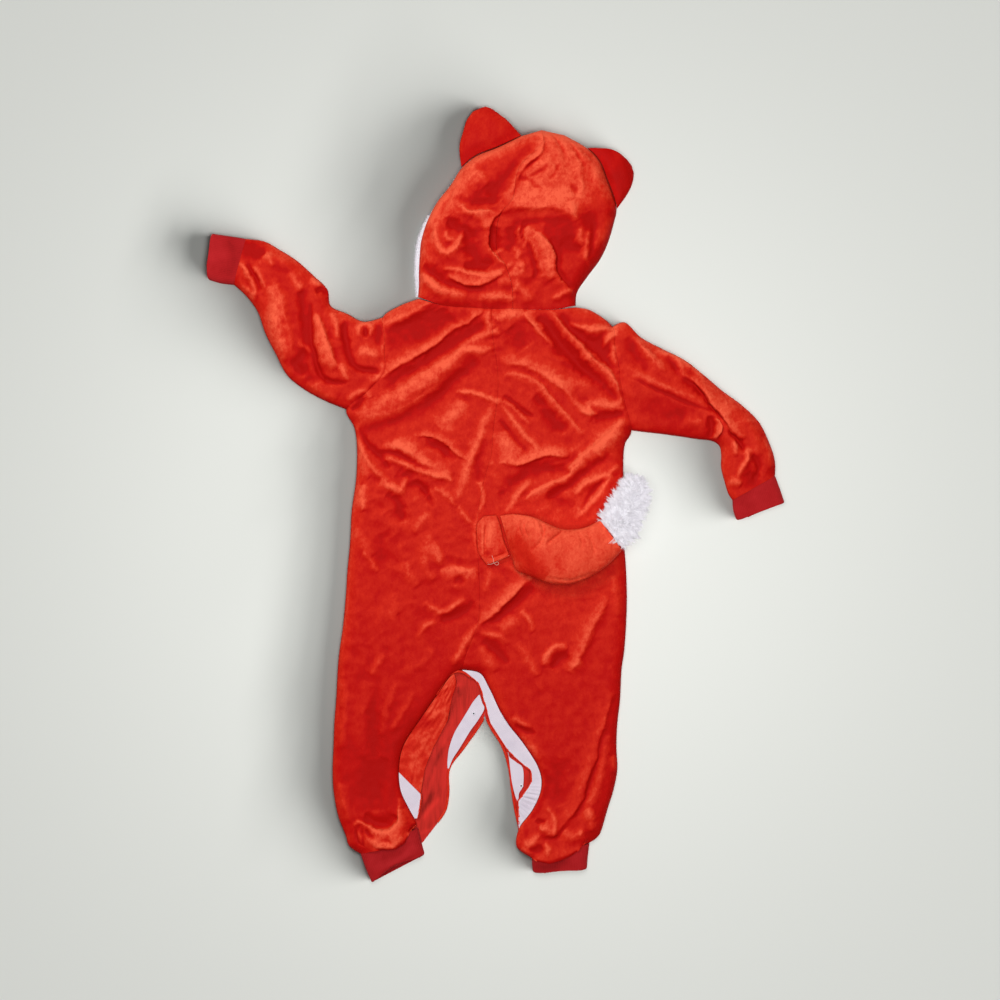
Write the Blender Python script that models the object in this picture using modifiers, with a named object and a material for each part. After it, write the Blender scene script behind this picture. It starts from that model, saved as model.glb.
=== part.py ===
"""A toddler's fox onesie, laid flat on its front with the back and the hood upwards.

Tables are in millimetres: +X to the right of the laid garment, +Y towards the hood and +Z up
from the surface that it lies on. Left and right are as seen from above.
"""
from collections import namedtuple
import math

import bmesh
import bpy
import numpy as np

MM = 0.001

# Cloth and seams
WALL = 1.6            # velour and rib knit
TAPE = 1.2            # snap tape
SEAM_GAP = 0.35       # between two pieces at a seam
END_GAP = 0.5         # where a sleeve, a leg or a band ends at its neighbour
NECK_CORNER_EASE = 1.8  # the neck seam's extra gap where hood, shoulder and sleeve turn down
PADDED_GAP = 0.6      # between an ear and the hood, or the fur and the tail
BAND_GAP = 0.5        # between the back's edge and the band along it
SEAM_DIP = 2.0        # how deep a seam pulls the cloth down
SEAM_WIDTH = 5.0
SEAM_HOLD = 9.0       # how far neck and armhole seams hold the folds down
FOLDS_HELD = 0.8      # how much of a fold such a seam takes away

# Heights over the surface that the garment lies on
SIDE_EDGE = 3.4       # the back where it meets the front at a side
OPEN_EDGE = 4.8       # the back along the inner-leg opening
LIFT = 7.5            # the back over its side edges, away from any fold
LEAST_LIFT = 3.0      # in the deepest hollow
ROLL = 16.0           # width over which a side edge rounds down
FRONT_TAPE_LEVEL = 3.1
CUFF_LIFT = 7.0
CUFF_ROLL = 9.6
TAIL_REST = 11.8      # the pressed cloth under the tail
TAIL_PRESS = 38.0     # how far from its middle line the tail flattens the folds
FOLDS_PRESSED = 0.9   # how much of a fold the tail takes away
TIP_DROP = (150.0, 28.0, 1.0)   # where the fur leaves the cloth, its slope's run, its lowest level

# Front centre line, from the neck to the crotch
FRONT_NECK = (-4.0, 213.0)
FRONT_CROTCH = (-12.0, -254.0)

# Sampling
LINE_STEPS = 6        # points a row, where a curve is only measured against
ARMHOLE_STEPS = 10
SIDE_STEPS = 30
BACK_COLUMNS = 12
FRONT_COLUMNS = (0.0, 0.06, 0.35, 0.7, 1.0)
BAND_COLUMNS = (0.0, 0.3, 0.7, 1.0)
SLEEVE_STEPS = 18
HOOD_STEPS = 20
HOOD_COLUMNS = 9
HOOD_CLOSENESS = 1.2  # above 1, the hood's rows stand closer at its crown
CUFF_STEPS = 3
CUFF_COLUMNS = 8
RING_SIDES = 16
EAR_STEPS = 8
EAR_BASE_STEPS = 12
TAIL_STEPS = 12
TIP_STEPS = 10
TAB_STEPS = 6

Trunk = namedtuple("Trunk", "left_x left_y seam_x seam_y right_x right_y")
Leg = namedtuple("Leg", "side_x side_y back_x back_y front_x front_y")
Section = namedtuple("Section", "start_x start_y end_x end_y")
Padded = namedtuple("Padded", "start_x start_y end_x end_y thickness")
Hood = namedtuple("Hood", "left_x left_y seam_x seam_y right_x right_y")
Reach = namedtuple("Reach", "row end_x end_y")
Fold = namedtuple("Fold", "name rise width start middle end")

TRUNK = [
    Trunk(-89, 225, -4, 212, 92, 216),
    Trunk(-110, 217, -4, 199, 111, 211),
    Trunk(-129, 204, -3, 183, 134, 193),
    Trunk(-127, 181, -1, 167, 137, 169),
    Trunk(-127, 160, 2, 148, 141, 148),
    Trunk(-128, 141, 3, 128, 143, 128),
    Trunk(-149, 116, 2, 107, 149, 102),
    Trunk(-171, 98, -1, 86, 156, 74),
    Trunk(-162, 77, -3, 68, 149, 59),
    Trunk(-159, 54, -5, 46, 147, 43),
    Trunk(-160, 18, -13, 17, 147, 16),
    Trunk(-165, -18, -20, -20, 148, -20),
    Trunk(-167, -55, -21, -54, 148, -54),
    Trunk(-170, -87, -19, -86, 150, -86),
    Trunk(-172, -118, -18, -118, 151, -118),
    Trunk(-175, -150, -21, -150, 150, -150),
    Trunk(-179, -178, -32, -178, 148, -178),
    Trunk(-181, -199, -39, -200, 145, -199),
]
SHOULDER_ROW = 2      # the sleeve's top on the trunk's outline
UNDERARM_ROW = 7
FRONT_JOINED = 2      # rows of the legs down which the two fronts still meet

LEFT_LEG = [
    Leg(-182, -217, -52, -208, -12, -220),
    Leg(-183, -236, -67, -229, -12, -240),
    Leg(-185, -261, -87, -258, -18, -263),
    Leg(-186, -288, -106, -288, -35, -290),
    Leg(-187, -314, -111, -314, -52, -314),
    Leg(-186, -339, -109, -339, -53, -342),
    Leg(-181, -367, -101, -360, -57, -363),
    Leg(-171, -391, -94, -379, -70, -385),
    Leg(-155, -412, -95, -395, -86, -392),
]
RIGHT_LEG = [
    Leg(144, -217, -18, -204, -12, -220),
    Leg(143, -236, -7, -221, -12, -240),
    Leg(140, -263, 10, -256, -6, -266),
    Leg(139, -289, 33, -286, 7, -289),
    Leg(140, -314, 50, -314, 16, -314),
    Leg(136, -337, 52, -337, 19, -337),
    Leg(129, -360, 40, -361, 22, -361),
    Leg(122, -384, 27, -383, 26, -385),
    Leg(108, -400, 41, -415, 41, -415),
]

NECK = [(-89, 226), (-60, 217), (-22, 214), (-4, 213), (20, 213), (63, 212), (92, 216)]

# Sleeves run from the armhole to the wrist, and start on the upper edge
LEFT_SLEEVE = [
    Section(-129, 204, -171, 98),
    Section(-151, 199, -189, 105),
    Section(-170, 208, -204, 112),
    Section(-189, 217, -221, 122),
    Section(-193, 236, -239, 137),
    Section(-209, 252, -252, 161),
    Section(-228, 269, -264, 185),
    Section(-247, 281, -273, 210),
    Section(-265, 291, -286, 228),
    Section(-286, 294, -300, 241),
]
RIGHT_SLEEVE = [
    Section(134, 193, 156, 74),
    Section(149, 198, 172, 72),
    Section(167, 181, 190, 70),
    Section(191, 168, 212, 67),
    Section(217, 155, 232, 64),
    Section(240, 137, 248, 62),
    Section(260, 120, 257, 56),
    Section(283, 103, 259, 45),
    Section(303, 83, 259, 31),
    Section(316, 56, 263, 15),
    Section(321, 38, 267, 2),
    Section(321, 22, 272, -6),
]
CUFFS = {
    "wrist_cuff_left": [Section(-286, 294, -300, 241), Section(-305, 297, -316, 243),
                        Section(-326, 300, -332, 248)],
    "wrist_cuff_right": [Section(321, 22, 272, -6), Section(327, 6, 273, -18),
                         Section(332, -9, 277, -30)],
    "ankle_cuff_left": [Section(-155, -412, -86, -392), Section(-149, -429, -81, -408),
                        Section(-142, -445, -83, -420)],
    "ankle_cuff_right": [Section(108, -400, 41, -415), Section(106, -416, 42, -424),
                         Section(104, -430, 49, -434)],
}

HOOD = [
    Hood(30, 412, 53, 419, 79, 413),
    Hood(3, 399, 53, 401, 105, 398),
    Hood(-22, 389, 40, 388, 120, 382),
    Hood(-39, 375, 28, 376, 128, 362),
    Hood(-52, 355, 22, 358, 135, 344),
    Hood(-67, 336, 20, 339, 139, 328),
    Hood(-78, 315, 6, 321, 136, 312),
    Hood(-85, 293, 1, 299, 129, 289),
    Hood(-87, 275, 2, 279, 120, 270),
    Hood(-88, 256, 12, 261, 106, 251),
    Hood(-88, 240, 19, 238, 94, 233),
    Hood(-89, 227, 20, 214, 92, 217),
]
FACE_CENTRE = (38, 300)
TRIM_DEPTH = 0.3      # the face trim's width, as a share of the way to the face's centre
TRIM_TUCK = 1.0       # how far the trim stays inside the hood's edge
TRIM_BULGE = 4.0      # how far the trim peeps out on the left
TRIM_LEFT = 0.35      # the share of the hood's edge along which it peeps out
TRIM_STEPS = 26

EAR_ROWS = {"ear_left": (3, 0), "ear_right": (1, 5)}   # the hood's rows that each is sewn between
EARS = {
    "ear_left": [
        Padded(-39, 376, 29, 412, 10), Padded(-41, 390, 21, 421, 14), Padded(-41, 402, 13, 430, 14),
        Padded(-37, 417, 4, 437, 12), Padded(-33, 430, -4, 443, 9), Padded(-26, 440, -11, 446, 6)],
    "ear_right": [
        Padded(106, 398, 139, 329, 9), Padded(118, 398, 144, 335, 12), Padded(131, 397, 150, 343, 12),
        Padded(141, 393, 155, 352, 11), Padded(150, 386, 158, 361, 8), Padded(156, 379, 159, 369, 5)],
}
TAIL = [
    Padded(5, -24, 19, -72, 14),
    Padded(18, -22, 23, -85, 22),
    Padded(32, -23, 33, -90, 27),
    Padded(45, -26, 45, -95, 29),
    Padded(60, -33, 60, -100, 30),
    Padded(76, -39, 78, -102, 29),
    Padded(93, -39, 96, -98, 28),
    Padded(105, -36, 113, -90, 26),
    Padded(113, -32, 130, -78, 24),
    Padded(119, -29, 144, -63, 21),
]
TAIL_TAB = [
    Padded(-13, -24, 1, -23, 6), Padded(-21, -34, 5, -34, 8), Padded(-21, -49, 9, -51, 9),
    Padded(-19, -66, 14, -64, 8), Padded(-10, -80, 16, -70, 6),
]
TAIL_TIP = [
    Padded(119, -29, 144, -63, 23),
    Padded(120, -18, 158, -54, 32),
    Padded(127, -8, 168, -37, 36),
    Padded(134, 2, 174, -17, 35),
    Padded(141, 12, 178, -2, 31),
    Padded(148, 20, 173, 13, 23),
    Padded(153, 23, 166, 21, 11),
]
LOCKS = 5             # locks of fur round a section of the tip
LOCK_DEPTH = 0.05

# Bands along the back's edge of the inner-leg opening: how far each reaches at the body's rows
BACK_BANDS = {
    "back_band_left": [
        Reach(17.7, -45, -214), Reach(18.4, -47, -222), Reach(19, -50, -233), Reach(20, -58, -259),
        Reach(21, -75, -289), Reach(22.3, -86, -320)],
    "back_tape_left": [
        Reach(22.2, -100, -323), Reach(22.6, -94, -336), Reach(23, -87, -345), Reach(24, -85, -360),
        Reach(24.8, -87, -372)],
    "back_tape_right": [
        Reach(17.7, -34, -207), Reach(18.4, -27, -211), Reach(19, -19, -223), Reach(20, -5, -260),
        Reach(21, 17, -295), Reach(22, 38, -314), Reach(23, 39, -332), Reach(24, 27, -348),
        Reach(25.4, 24, -364)],
}
# Tapes on the fronts, from the front's edge inwards
FRONT_TAPES = {
    "front_tape_left": [
        Section(-25, -237, -18, -231), Section(-33, -248, -14, -245), Section(-41, -261, -20, -259),
        Section(-48, -274, -28, -271), Section(-52, -288, -39, -288), Section(-53, -301, -48, -300)],
    "front_tape_right": [
        Section(-9, -254, 6, -250), Section(-2, -269, 13, -262), Section(7, -285, 22, -278),
        Section(16, -298, 33, -301), Section(18, -316, 34, -321), Section(21, -335, 33, -337),
        Section(25, -350, 29, -351)],
}

FOLDS = [
    Fold("shoulder blade, upper", 5, 9, (-14, 202), (-75, 172), (-151, 120)),
    Fold("shoulder blade, broad", 6, 13, (-2, 186), (-57, 139), (-158, 89)),
    Fold("nape, right", 3, 8, (46, 200), (58, 187), (68, 169)),
    Fold("right shoulder to underarm", 5, 9, (69, 200), (103, 164), (144, 112)),
    Fold("right back, arc", 4, 9, (11, 139), (60, 132), (106, 70)),
    Fold("right back, sharp", 4, 7, (3, 113), (30, 86), (55, 49)),
    Fold("centre back, left", 3, 8, (-6, 100), (-27, 52), (-40, 1)),
    Fold("left waist, across", 4, 8, (-133, 52), (-81, 61), (-30, 43)),
    Fold("left underarm, down", 4, 10, (-157, 70), (-133, 31), (-98, 3)),
    Fold("right underarm, long", 5, 11, (151, 84), (91, 38), (19, -15)),
    Fold("right waist", 3, 8, (140, 40), (117, 20), (93, -3)),
    Fold("centre back, across", 3, 8, (-4, 33), (34, 37), (83, 45)),
    Fold("seat, long", 4, 9, (35, -98), (-6, -135), (-47, -192)),
    Fold("seat, right", 3, 8, (127, -120), (105, -167), (85, -199)),
    Fold("crotch, right", 3, 9, (78, -172), (28, -190), (-16, -184)),
    Fold("seat, left", 4, 8, (-82, -124), (-52, -136), (-34, -121)),
    Fold("left thigh", 3, 9, (-72, -135), (-98, -178), (-116, -224)),
    Fold("right shin", 3, 8, (122, -279), (103, -314), (85, -352)),
    Fold("left shin", 3, 10, (-133, -236), (-144, -293), (-142, -345)),
    Fold("left ankle puff", 7, 11, (-163, -376), (-131, -383), (-101, -360)),
    Fold("right ankle puff", 7, 11, (42, -392), (74, -390), (113, -376)),
    Fold("left sleeve body", 5, 30, (-259, 259), (-225, 190), (-167, 150)),
    Fold("left sleeve ridge", 6, 12, (-249, 268), (-247, 215), (-240, 153)),
    Fold("left sleeve hollow", -4, 8, (-225, 218), (-213, 172), (-196, 129)),
    Fold("left sleeve head", 5, 10, (-203, 198), (-186, 164), (-174, 128)),
    Fold("right sleeve body", 5, 30, (166, 132), (235, 103), (290, 40)),
    Fold("right sleeve ridge", 6, 10, (155, 178), (226, 130), (293, 38)),
    Fold("right sleeve hollow", -4, 8, (149, 131), (198, 115), (249, 98)),
    Fold("right elbow tuck", 5, 9, (250, 98), (249, 82), (254, 63)),
    Fold("hood crown dome", 20, 66, (51, 362), (74, 339), (74, 299)),
    Fold("hood left lobe", 12, 48, (-32, 339), (-41, 293), (-35, 253)),
    Fold("hood dent", -17, 14, (3, 307), (5, 290), (11, 268)),
    Fold("crown lip", 7, 10, (19, 325), (68, 335), (127, 331)),
    Fold("under the lip", -8, 13, (30, 296), (74, 292), (120, 296)),
    Fold("hood right ridge", 8, 9, (36, 302), (57, 279), (70, 252)),
    Fold("hood swirl", 8, 9, (-68, 307), (-63, 279), (-39, 293)),
    Fold("hood swirl, top", 5, 8, (-40, 330), (-20, 323), (1, 321)),
    Fold("hood swirl, foot", 5, 8, (-83, 246), (-68, 256), (-55, 266)),
    Fold("hood band, left", 4, 9, (-85, 236), (-39, 225), (14, 228)),
    Fold("hood crown ridge", 6, 10, (57, 406), (40, 379), (26, 339)),
]

Finish = namedtuple("Finish", "colour roughness")
VELOUR = Finish((0.62, 0.02, 0.012), 0.55)
LINING = Finish((0.42, 0.012, 0.012), 0.8)
RIB = Finish((0.45, 0.012, 0.018), 0.85)
WHITE_TAPE = Finish((0.72, 0.66, 0.74), 0.9)
WHITE_FUR = Finish((0.82, 0.79, 0.84), 0.95)


# Lines and distances ------------------------------------------------------------------------

def smooth(table, where):
    """Read a table of numbers at fractional rows, as a smooth curve through its rows."""
    table = np.asarray(table, float)
    where = np.atleast_1d(np.asarray(where, float))
    last = len(table) - 1
    row = np.clip(np.floor(where).astype(int), 0, last - 1)
    share = (where - row)[:, None]
    before = table[np.maximum(row - 1, 0)]
    here = table[row]
    after = table[row + 1]
    beyond = table[np.minimum(row + 2, last)]
    return 0.5 * (2 * here + (after - before) * share
                  + (2 * before - 5 * here + 4 * after - beyond) * share ** 2
                  + (3 * here - before - 3 * after + beyond) * share ** 3)


def branch(shared, own, where):
    """Read a line that two panels share down to its last row, and that then goes its own way."""
    turn = len(shared) - 1
    where = np.asarray(where, float)
    above = smooth(shared, np.minimum(where, turn))
    below = smooth(np.vstack([shared[-1:], own]), np.maximum(where - turn, 0))
    return np.where(where[:, None] <= turn, above, below)


def fine(table):
    """The same smooth curve as a polyline with a few points a row."""
    last = len(table) - 1
    return smooth(table, np.linspace(0, last, last * LINE_STEPS + 1))


def nearest(points, line):
    """Distance from each point to a polyline, and how far along the line that is, 0 to 1."""
    start = line[:-1][None, :, :]
    run = (line[1:] - line[:-1])[None, :, :]
    offset = points[:, None, :] - start
    share = np.clip((offset * run).sum(2) / np.maximum((run ** 2).sum(2), 1e-9), 0, 1)
    gap = np.sqrt(((offset - share[..., None] * run) ** 2).sum(2))
    best = gap.argmin(1)
    each = np.arange(len(points))
    return gap[each, best], (best + share[each, best]) / run.shape[1]


def distance(points, lines):
    """Distance from each point to the nearest of several polylines."""
    return np.min([nearest(points, line)[0] for line in lines], axis=0)


def columns(table, first):
    """Two neighbouring columns of a table as an array of places."""
    return np.array([row[first:first + 2] for row in table], float)


def front_centre(rows):
    """The front's centre line at the heights of the given rows."""
    (neck_x, neck_y), (crotch_x, crotch_y) = FRONT_NECK, FRONT_CROTCH
    share = (neck_y - rows[:, 1]) / (neck_y - crotch_y)
    return np.column_stack([neck_x + share * (crotch_x - neck_x), rows[:, 1]])


LEFT_SIDE = np.vstack([columns(TRUNK, 0), columns(LEFT_LEG, 0)])
RIGHT_SIDE = np.vstack([columns(TRUNK, 4), columns(RIGHT_LEG, 0)])
BACK_SEAM = columns(TRUNK, 2)
BACK_OPEN_LEFT = columns(LEFT_LEG, 2)
BACK_OPEN_RIGHT = columns(RIGHT_LEG, 2)
FRONT_LEFT = columns(LEFT_LEG, 4)
FRONT_RIGHT = columns(RIGHT_LEG, 4)
FRONT_SEAM = np.vstack([front_centre(BACK_SEAM), FRONT_LEFT[:FRONT_JOINED]])
HOOD_LEFT = columns(HOOD, 0)
HOOD_SEAM = columns(HOOD, 2)
HOOD_RIGHT = columns(HOOD, 4)
HOOD_OUTLINE = np.vstack([fine(HOOD_LEFT)[::-1], HOOD_SEAM[:1], fine(HOOD_RIGHT)])


def outlines():
    """Every edge of the laid garment at which the back rounds down to the front."""
    lines = [HOOD_OUTLINE]
    for side, sleeve in ((LEFT_SIDE, LEFT_SLEEVE), (RIGHT_SIDE, RIGHT_SLEEVE)):
        whole = fine(side)
        lines += [whole[:LINE_STEPS * SHOULDER_ROW + 1], whole[LINE_STEPS * UNDERARM_ROW:]]
        lines += [fine(columns(sleeve, 0)), fine(columns(sleeve, 2))]
    return lines


def armholes():
    first, last = LINE_STEPS * SHOULDER_ROW, LINE_STEPS * UNDERARM_ROW
    return [fine(side)[first:last + 1] for side in (LEFT_SIDE, RIGHT_SIDE)]


EAR_BASES = {
    "ear_left": smooth(HOOD_LEFT, np.linspace(*EAR_ROWS["ear_left"], EAR_BASE_STEPS + 1)),
    "ear_right": smooth(HOOD_RIGHT, np.linspace(*EAR_ROWS["ear_right"], EAR_BASE_STEPS + 1)),
}
OUTLINES = outlines()
SET_IN_SEAMS = [fine(NECK)] + armholes()
SEAMS = SET_IN_SEAMS + [fine(BACK_SEAM), fine(HOOD_SEAM)]
OPENINGS = [fine(np.vstack([BACK_SEAM[-1:], edge])) for edge in (BACK_OPEN_LEFT, BACK_OPEN_RIGHT)]
TAIL_LINE = np.array([(row.start_x + row.end_x, row.start_y + row.end_y) for row in TAIL]) / 2


# The form of the upper cloth ------------------------------------------------------------------

def roundness(gap, width=ROLL):
    """From 0 at an edge to 1 a roll's width inside it, as a quarter round."""
    inside = np.clip(gap / width, 0, 1)
    return np.sqrt(np.clip(1 - (1 - inside) ** 2, 0, 1))


def fold_relief(points):
    """Sum of all folds: ridges rise and hollows sink, and each fades out at its ends."""
    relief = np.zeros(len(points))
    for fold in FOLDS:
        line = smooth([fold.start, fold.middle, fold.end], np.linspace(0, 2, 13))
        gap, along = nearest(points, line)
        relief += fold.rise * np.exp(-(gap / fold.width) ** 2) * np.sqrt(np.sin(np.pi * along) + 1e-4)
    pressed = np.exp(-(nearest(points, TAIL_LINE)[0] / TAIL_PRESS) ** 4)
    held = np.exp(-(distance(points, SET_IN_SEAMS) / SEAM_HOLD) ** 2)
    return relief * (1 - FOLDS_PRESSED * pressed) * (1 - FOLDS_HELD * held)


def upper_height(points):
    """Height of the upper cloth's outer face over the surface that the garment lies on."""
    side = roundness(distance(points, OUTLINES))
    opening = roundness(distance(points, OPENINGS))
    dip = SEAM_DIP * np.exp(-(distance(points, SEAMS) / SEAM_WIDTH) ** 2)
    level = SIDE_EDGE + (OPEN_EDGE - SIDE_EDGE) * (1 - opening)
    lift = np.maximum(LIFT + fold_relief(points) - dip, LEAST_LIFT)
    return level + side * opening * lift


# Meshes ----------------------------------------------------------------------------------------

def add_object(name, mesh_data, finish, wall=0.0):
    """Turn a bmesh in millimetres into a named object; a wall makes an open face a shell."""
    bmesh.ops.scale(mesh_data, vec=(MM, MM, MM), verts=mesh_data.verts)
    mesh = bpy.data.meshes.new(name)
    mesh_data.to_mesh(mesh)
    mesh_data.free()
    mesh.shade_smooth()
    mesh.set_sharp_from_angle(angle=math.radians(50))
    mesh.materials.append(material(name + "_cloth", finish))
    piece = bpy.data.objects.new(name, mesh)
    garment.objects.link(piece)
    if wall:
        shell = piece.modifiers.new("wall", "SOLIDIFY")
        shell.thickness = wall * MM
        shell.offset = -1.0
    return piece


def material(name, finish):
    made = bpy.data.materials.new(name)
    made.use_nodes = True
    shader = made.node_tree.nodes["Principled BSDF"]
    shader.inputs["Base Color"].default_value = (*finish.colour, 1.0)
    shader.inputs["Roughness"].default_value = finish.roughness
    shader.inputs["Metallic"].default_value = 0.0
    return made


def sheet_mesh(places):
    """A grid of faces through an array of places, rows by columns, with its face up."""
    rows, cols = places.shape[:2]
    mesh_data = bmesh.new()
    bmesh.ops.create_grid(mesh_data, x_segments=cols - 1, y_segments=rows - 1, size=0.5)
    for vert in mesh_data.verts:
        col = round((vert.co.x + 0.5) * (cols - 1))
        row = round((vert.co.y + 0.5) * (rows - 1))
        vert.co = places[row, col]
    mesh_data.normal_update()
    if sum(face.normal.z * face.calc_area() for face in mesh_data.faces) < 0:
        bmesh.ops.reverse_faces(mesh_data, faces=mesh_data.faces)
    return mesh_data


def tube_mesh(places):
    """Rings of places joined into a tube, whose first and last columns are the same line."""
    mesh_data = sheet_mesh(places)
    bmesh.ops.remove_doubles(mesh_data, verts=mesh_data.verts, dist=0.0001)
    bmesh.ops.recalc_face_normals(mesh_data, faces=mesh_data.faces)
    if max(mesh_data.faces, key=lambda face: face.calc_center_median().z).normal.z < 0:
        bmesh.ops.reverse_faces(mesh_data, faces=mesh_data.faces)
    return mesh_data


def spread(start, end, shares, margins=(0.0, 0.0)):
    """Rows of places from one edge line to another, less a margin in millimetres at each."""
    across = end - start
    length = np.linalg.norm(across, axis=1)[:, None]
    first = margins[0] / length
    last = 1 - margins[1] / length
    share = first + (last - first) * np.asarray(shares)[None, :]
    return start[:, None, :] + share[..., None] * across[:, None, :]


def with_height(plan, height):
    """Add a height in millimetres, one number or one for each place, to places in plan."""
    level = np.broadcast_to(height, plan.shape[:2])
    return np.concatenate([plan, level[..., None]], axis=2)


def upper(plan):
    flat = plan.reshape(-1, 2)
    return with_height(plan, upper_height(flat).reshape(plan.shape[:2]))


def eased(count):
    """Shares from 0 to 1 that stand close together at both ends."""
    return (1 - np.cos(np.pi * np.arange(count + 1) / count)) / 2


def to_neck(plan, pull, side):
    """Bring a row of the plan onto the neck seam, on the hood's side (+1) or the body's (-1)."""
    neck = fine(NECK)
    row = plan[0 if side < 0 else -1]
    from_corner = np.minimum(row[:, 0] - neck[0, 0], neck[-1, 0] - row[:, 0])
    gap = SEAM_GAP + NECK_CORNER_EASE * np.exp(-(from_corner / ROLL) ** 2)
    shift = np.interp(row[:, 0], neck[:, 0], neck[:, 1]) + side * gap / 2 - row[:, 1]
    plan[..., 1] += pull[:, None] * shift[None, :]
    return plan


# Pieces ----------------------------------------------------------------------------------------

def body_rows():
    """Where the body's panels are cut across, as rows of their tables."""
    armhole = SHOULDER_ROW + (UNDERARM_ROW - SHOULDER_ROW) * eased(ARMHOLE_STEPS)
    side = np.linspace(UNDERARM_ROW, len(LEFT_SIDE) - 1, SIDE_STEPS + 1)
    return np.concatenate([[0, 1], armhole, side[1:]])


def body_plan(side, seam, leg_edge, shares):
    """A body panel's places, from its side to its seam and, below that, its leg's inner edge."""
    rows = body_rows()
    inner = branch(seam, leg_edge, rows)
    plan = spread(smooth(side, rows), inner, shares, (0.0, SEAM_GAP / 2))
    return draw_back(to_neck(plan, np.clip(1 - rows, 0, 1), -1), -1, -2)


def draw_back(plan, row, inward):
    """Move an end row of the plan by a seam's gap towards its neighbour row."""
    away = (plan[inward] - plan[row]).mean(axis=0)
    plan[row] += away / np.linalg.norm(away) * END_GAP
    return plan


def make_backs():
    shares = 1 - np.cos(0.5 * np.pi * np.arange(BACK_COLUMNS + 1) / BACK_COLUMNS)
    for name, side, leg_edge in (("back_left", LEFT_SIDE, BACK_OPEN_LEFT),
                                 ("back_right", RIGHT_SIDE, BACK_OPEN_RIGHT)):
        plan = body_plan(side, BACK_SEAM, leg_edge, shares)
        add_object(name, sheet_mesh(upper(plan)), VELOUR, WALL)


def make_fronts():
    for name, side, leg_edge in (("front_left", LEFT_SIDE, FRONT_LEFT),
                                 ("front_right", RIGHT_SIDE, FRONT_RIGHT)):
        plan = body_plan(side, FRONT_SEAM, leg_edge[FRONT_JOINED:], FRONT_COLUMNS)
        add_object(name, sheet_mesh(with_height(plan, WALL)), LINING, WALL)


def ring(plan, top):
    """Close rows of places into flat-bottomed rings: the top going, the floor coming back."""
    edge = top[:, [0, -1]]
    edge[..., 2] = SIDE_EDGE
    back = with_height(plan[:, -2:0:-1], 0.0)
    return np.concatenate([edge[:, :1], top[:, 1:-1], edge[:, 1:], back, edge[:, :1]], axis=1)


def make_sleeve(name, table, side):
    last = len(table) - 1
    rows = np.linspace(0, last, SLEEVE_STEPS + 1)
    shares = eased(ARMHOLE_STEPS)
    start = smooth(columns(table, 0), rows)
    end = smooth(columns(table, 2), rows)
    plan = spread(start, end, shares)
    armhole = smooth(side, SHOULDER_ROW + (UNDERARM_ROW - SHOULDER_ROW) * shares)
    plan += np.clip(1 - rows / 2, 0, 1)[:, None, None] * (armhole - plan[0])[None]
    plan = draw_back(draw_back(plan, 0, 1), -1, -2)
    add_object(name, tube_mesh(ring(plan, upper(plan))), VELOUR, WALL)


def make_cuff(name, table):
    rows = np.linspace(0, len(table) - 1, CUFF_STEPS + 1)
    shares = eased(CUFF_COLUMNS)
    plan = spread(smooth(columns(table, 0), rows), smooth(columns(table, 2), rows), shares)
    width = np.linalg.norm(plan[:, -1] - plan[:, 0], axis=1)[:, None]
    inside = np.minimum(shares, 1 - shares)[None, :] * width
    top = with_height(plan, SIDE_EDGE + CUFF_LIFT * roundness(inside, CUFF_ROLL))
    add_object(name, tube_mesh(ring(plan, top)), RIB, WALL)


def make_hood():
    rows = (len(HOOD) - 1) * (np.arange(HOOD_STEPS + 1) / HOOD_STEPS) ** HOOD_CLOSENESS
    shares = 1 - np.cos(0.5 * np.pi * np.arange(HOOD_COLUMNS + 1) / HOOD_COLUMNS)
    pull = np.clip(rows - len(HOOD) + 2, 0, 1)
    for name, outer in (("hood_left", HOOD_LEFT), ("hood_right", HOOD_RIGHT)):
        plan = spread(smooth(outer, rows), smooth(HOOD_SEAM, rows), shares, (0.0, SEAM_GAP))
        add_object(name, sheet_mesh(upper(to_neck(plan, pull, 1))), VELOUR, WALL)


def make_hood_trim():
    """The face trim: a band round the face on the surface, under the hood's edge."""
    line = HOOD_OUTLINE
    picks = np.linspace(1, len(line) - 2, TRIM_STEPS + 1)
    outer = smooth(line, picks)
    to_centre = np.array(FACE_CENTRE) - outer
    inner = outer + TRIM_DEPTH * to_centre
    inward = to_centre / np.linalg.norm(to_centre, axis=1)[:, None]
    left = np.clip(1 - picks / (TRIM_LEFT * len(line)), 0, 1)
    outer += inward * (TRIM_TUCK - (TRIM_TUCK + TRIM_BULGE) * np.sqrt(np.sin(np.pi * left)))[:, None]
    plan = spread(outer, inner, np.linspace(0, 1, 4))
    add_object("hood_trim", sheet_mesh(with_height(plan, WALL)), WHITE_FUR, WALL)


def padded_rings(table, rest, steps, locks=0, base=None):
    """Rings of a stuffed piece: each is round above and flatter below, and lies on its rest.

    A base is the line that the first ring is sewn to, as an array of places from end to end.
    """
    rows = np.linspace(0, len(table) - 1, steps + 1)
    start = smooth(columns(table, 0), rows)[:, None, :]
    end = smooth(columns(table, 2), rows)[:, None, :]
    thickness = smooth([[row.thickness] for row in table], rows)
    turn = 2 * np.pi * np.arange(RING_SIDES + 1) / RING_SIDES
    swell = 1 + LOCK_DEPTH * np.cos(locks * turn)[None, :] * (locks > 0)
    share = 0.5 - 0.5 * np.cos(turn)[None, :] * swell
    height = np.where(np.sin(turn) > 0, np.abs(np.sin(turn)), -np.abs(np.sin(turn)) ** 0.6)
    plan = start + share[..., None] * (end - start)
    if base is not None:
        sewn = smooth(base, share[0] * (len(base) - 1))
        plan += np.clip(1 - rows / 2, 0, 1)[:, None, None] * (sewn - plan[0])[None]
    level = rest(plan) + thickness * 0.5 * (1 + height[None, :])
    return np.concatenate([plan, level[..., None]], axis=2)


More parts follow.
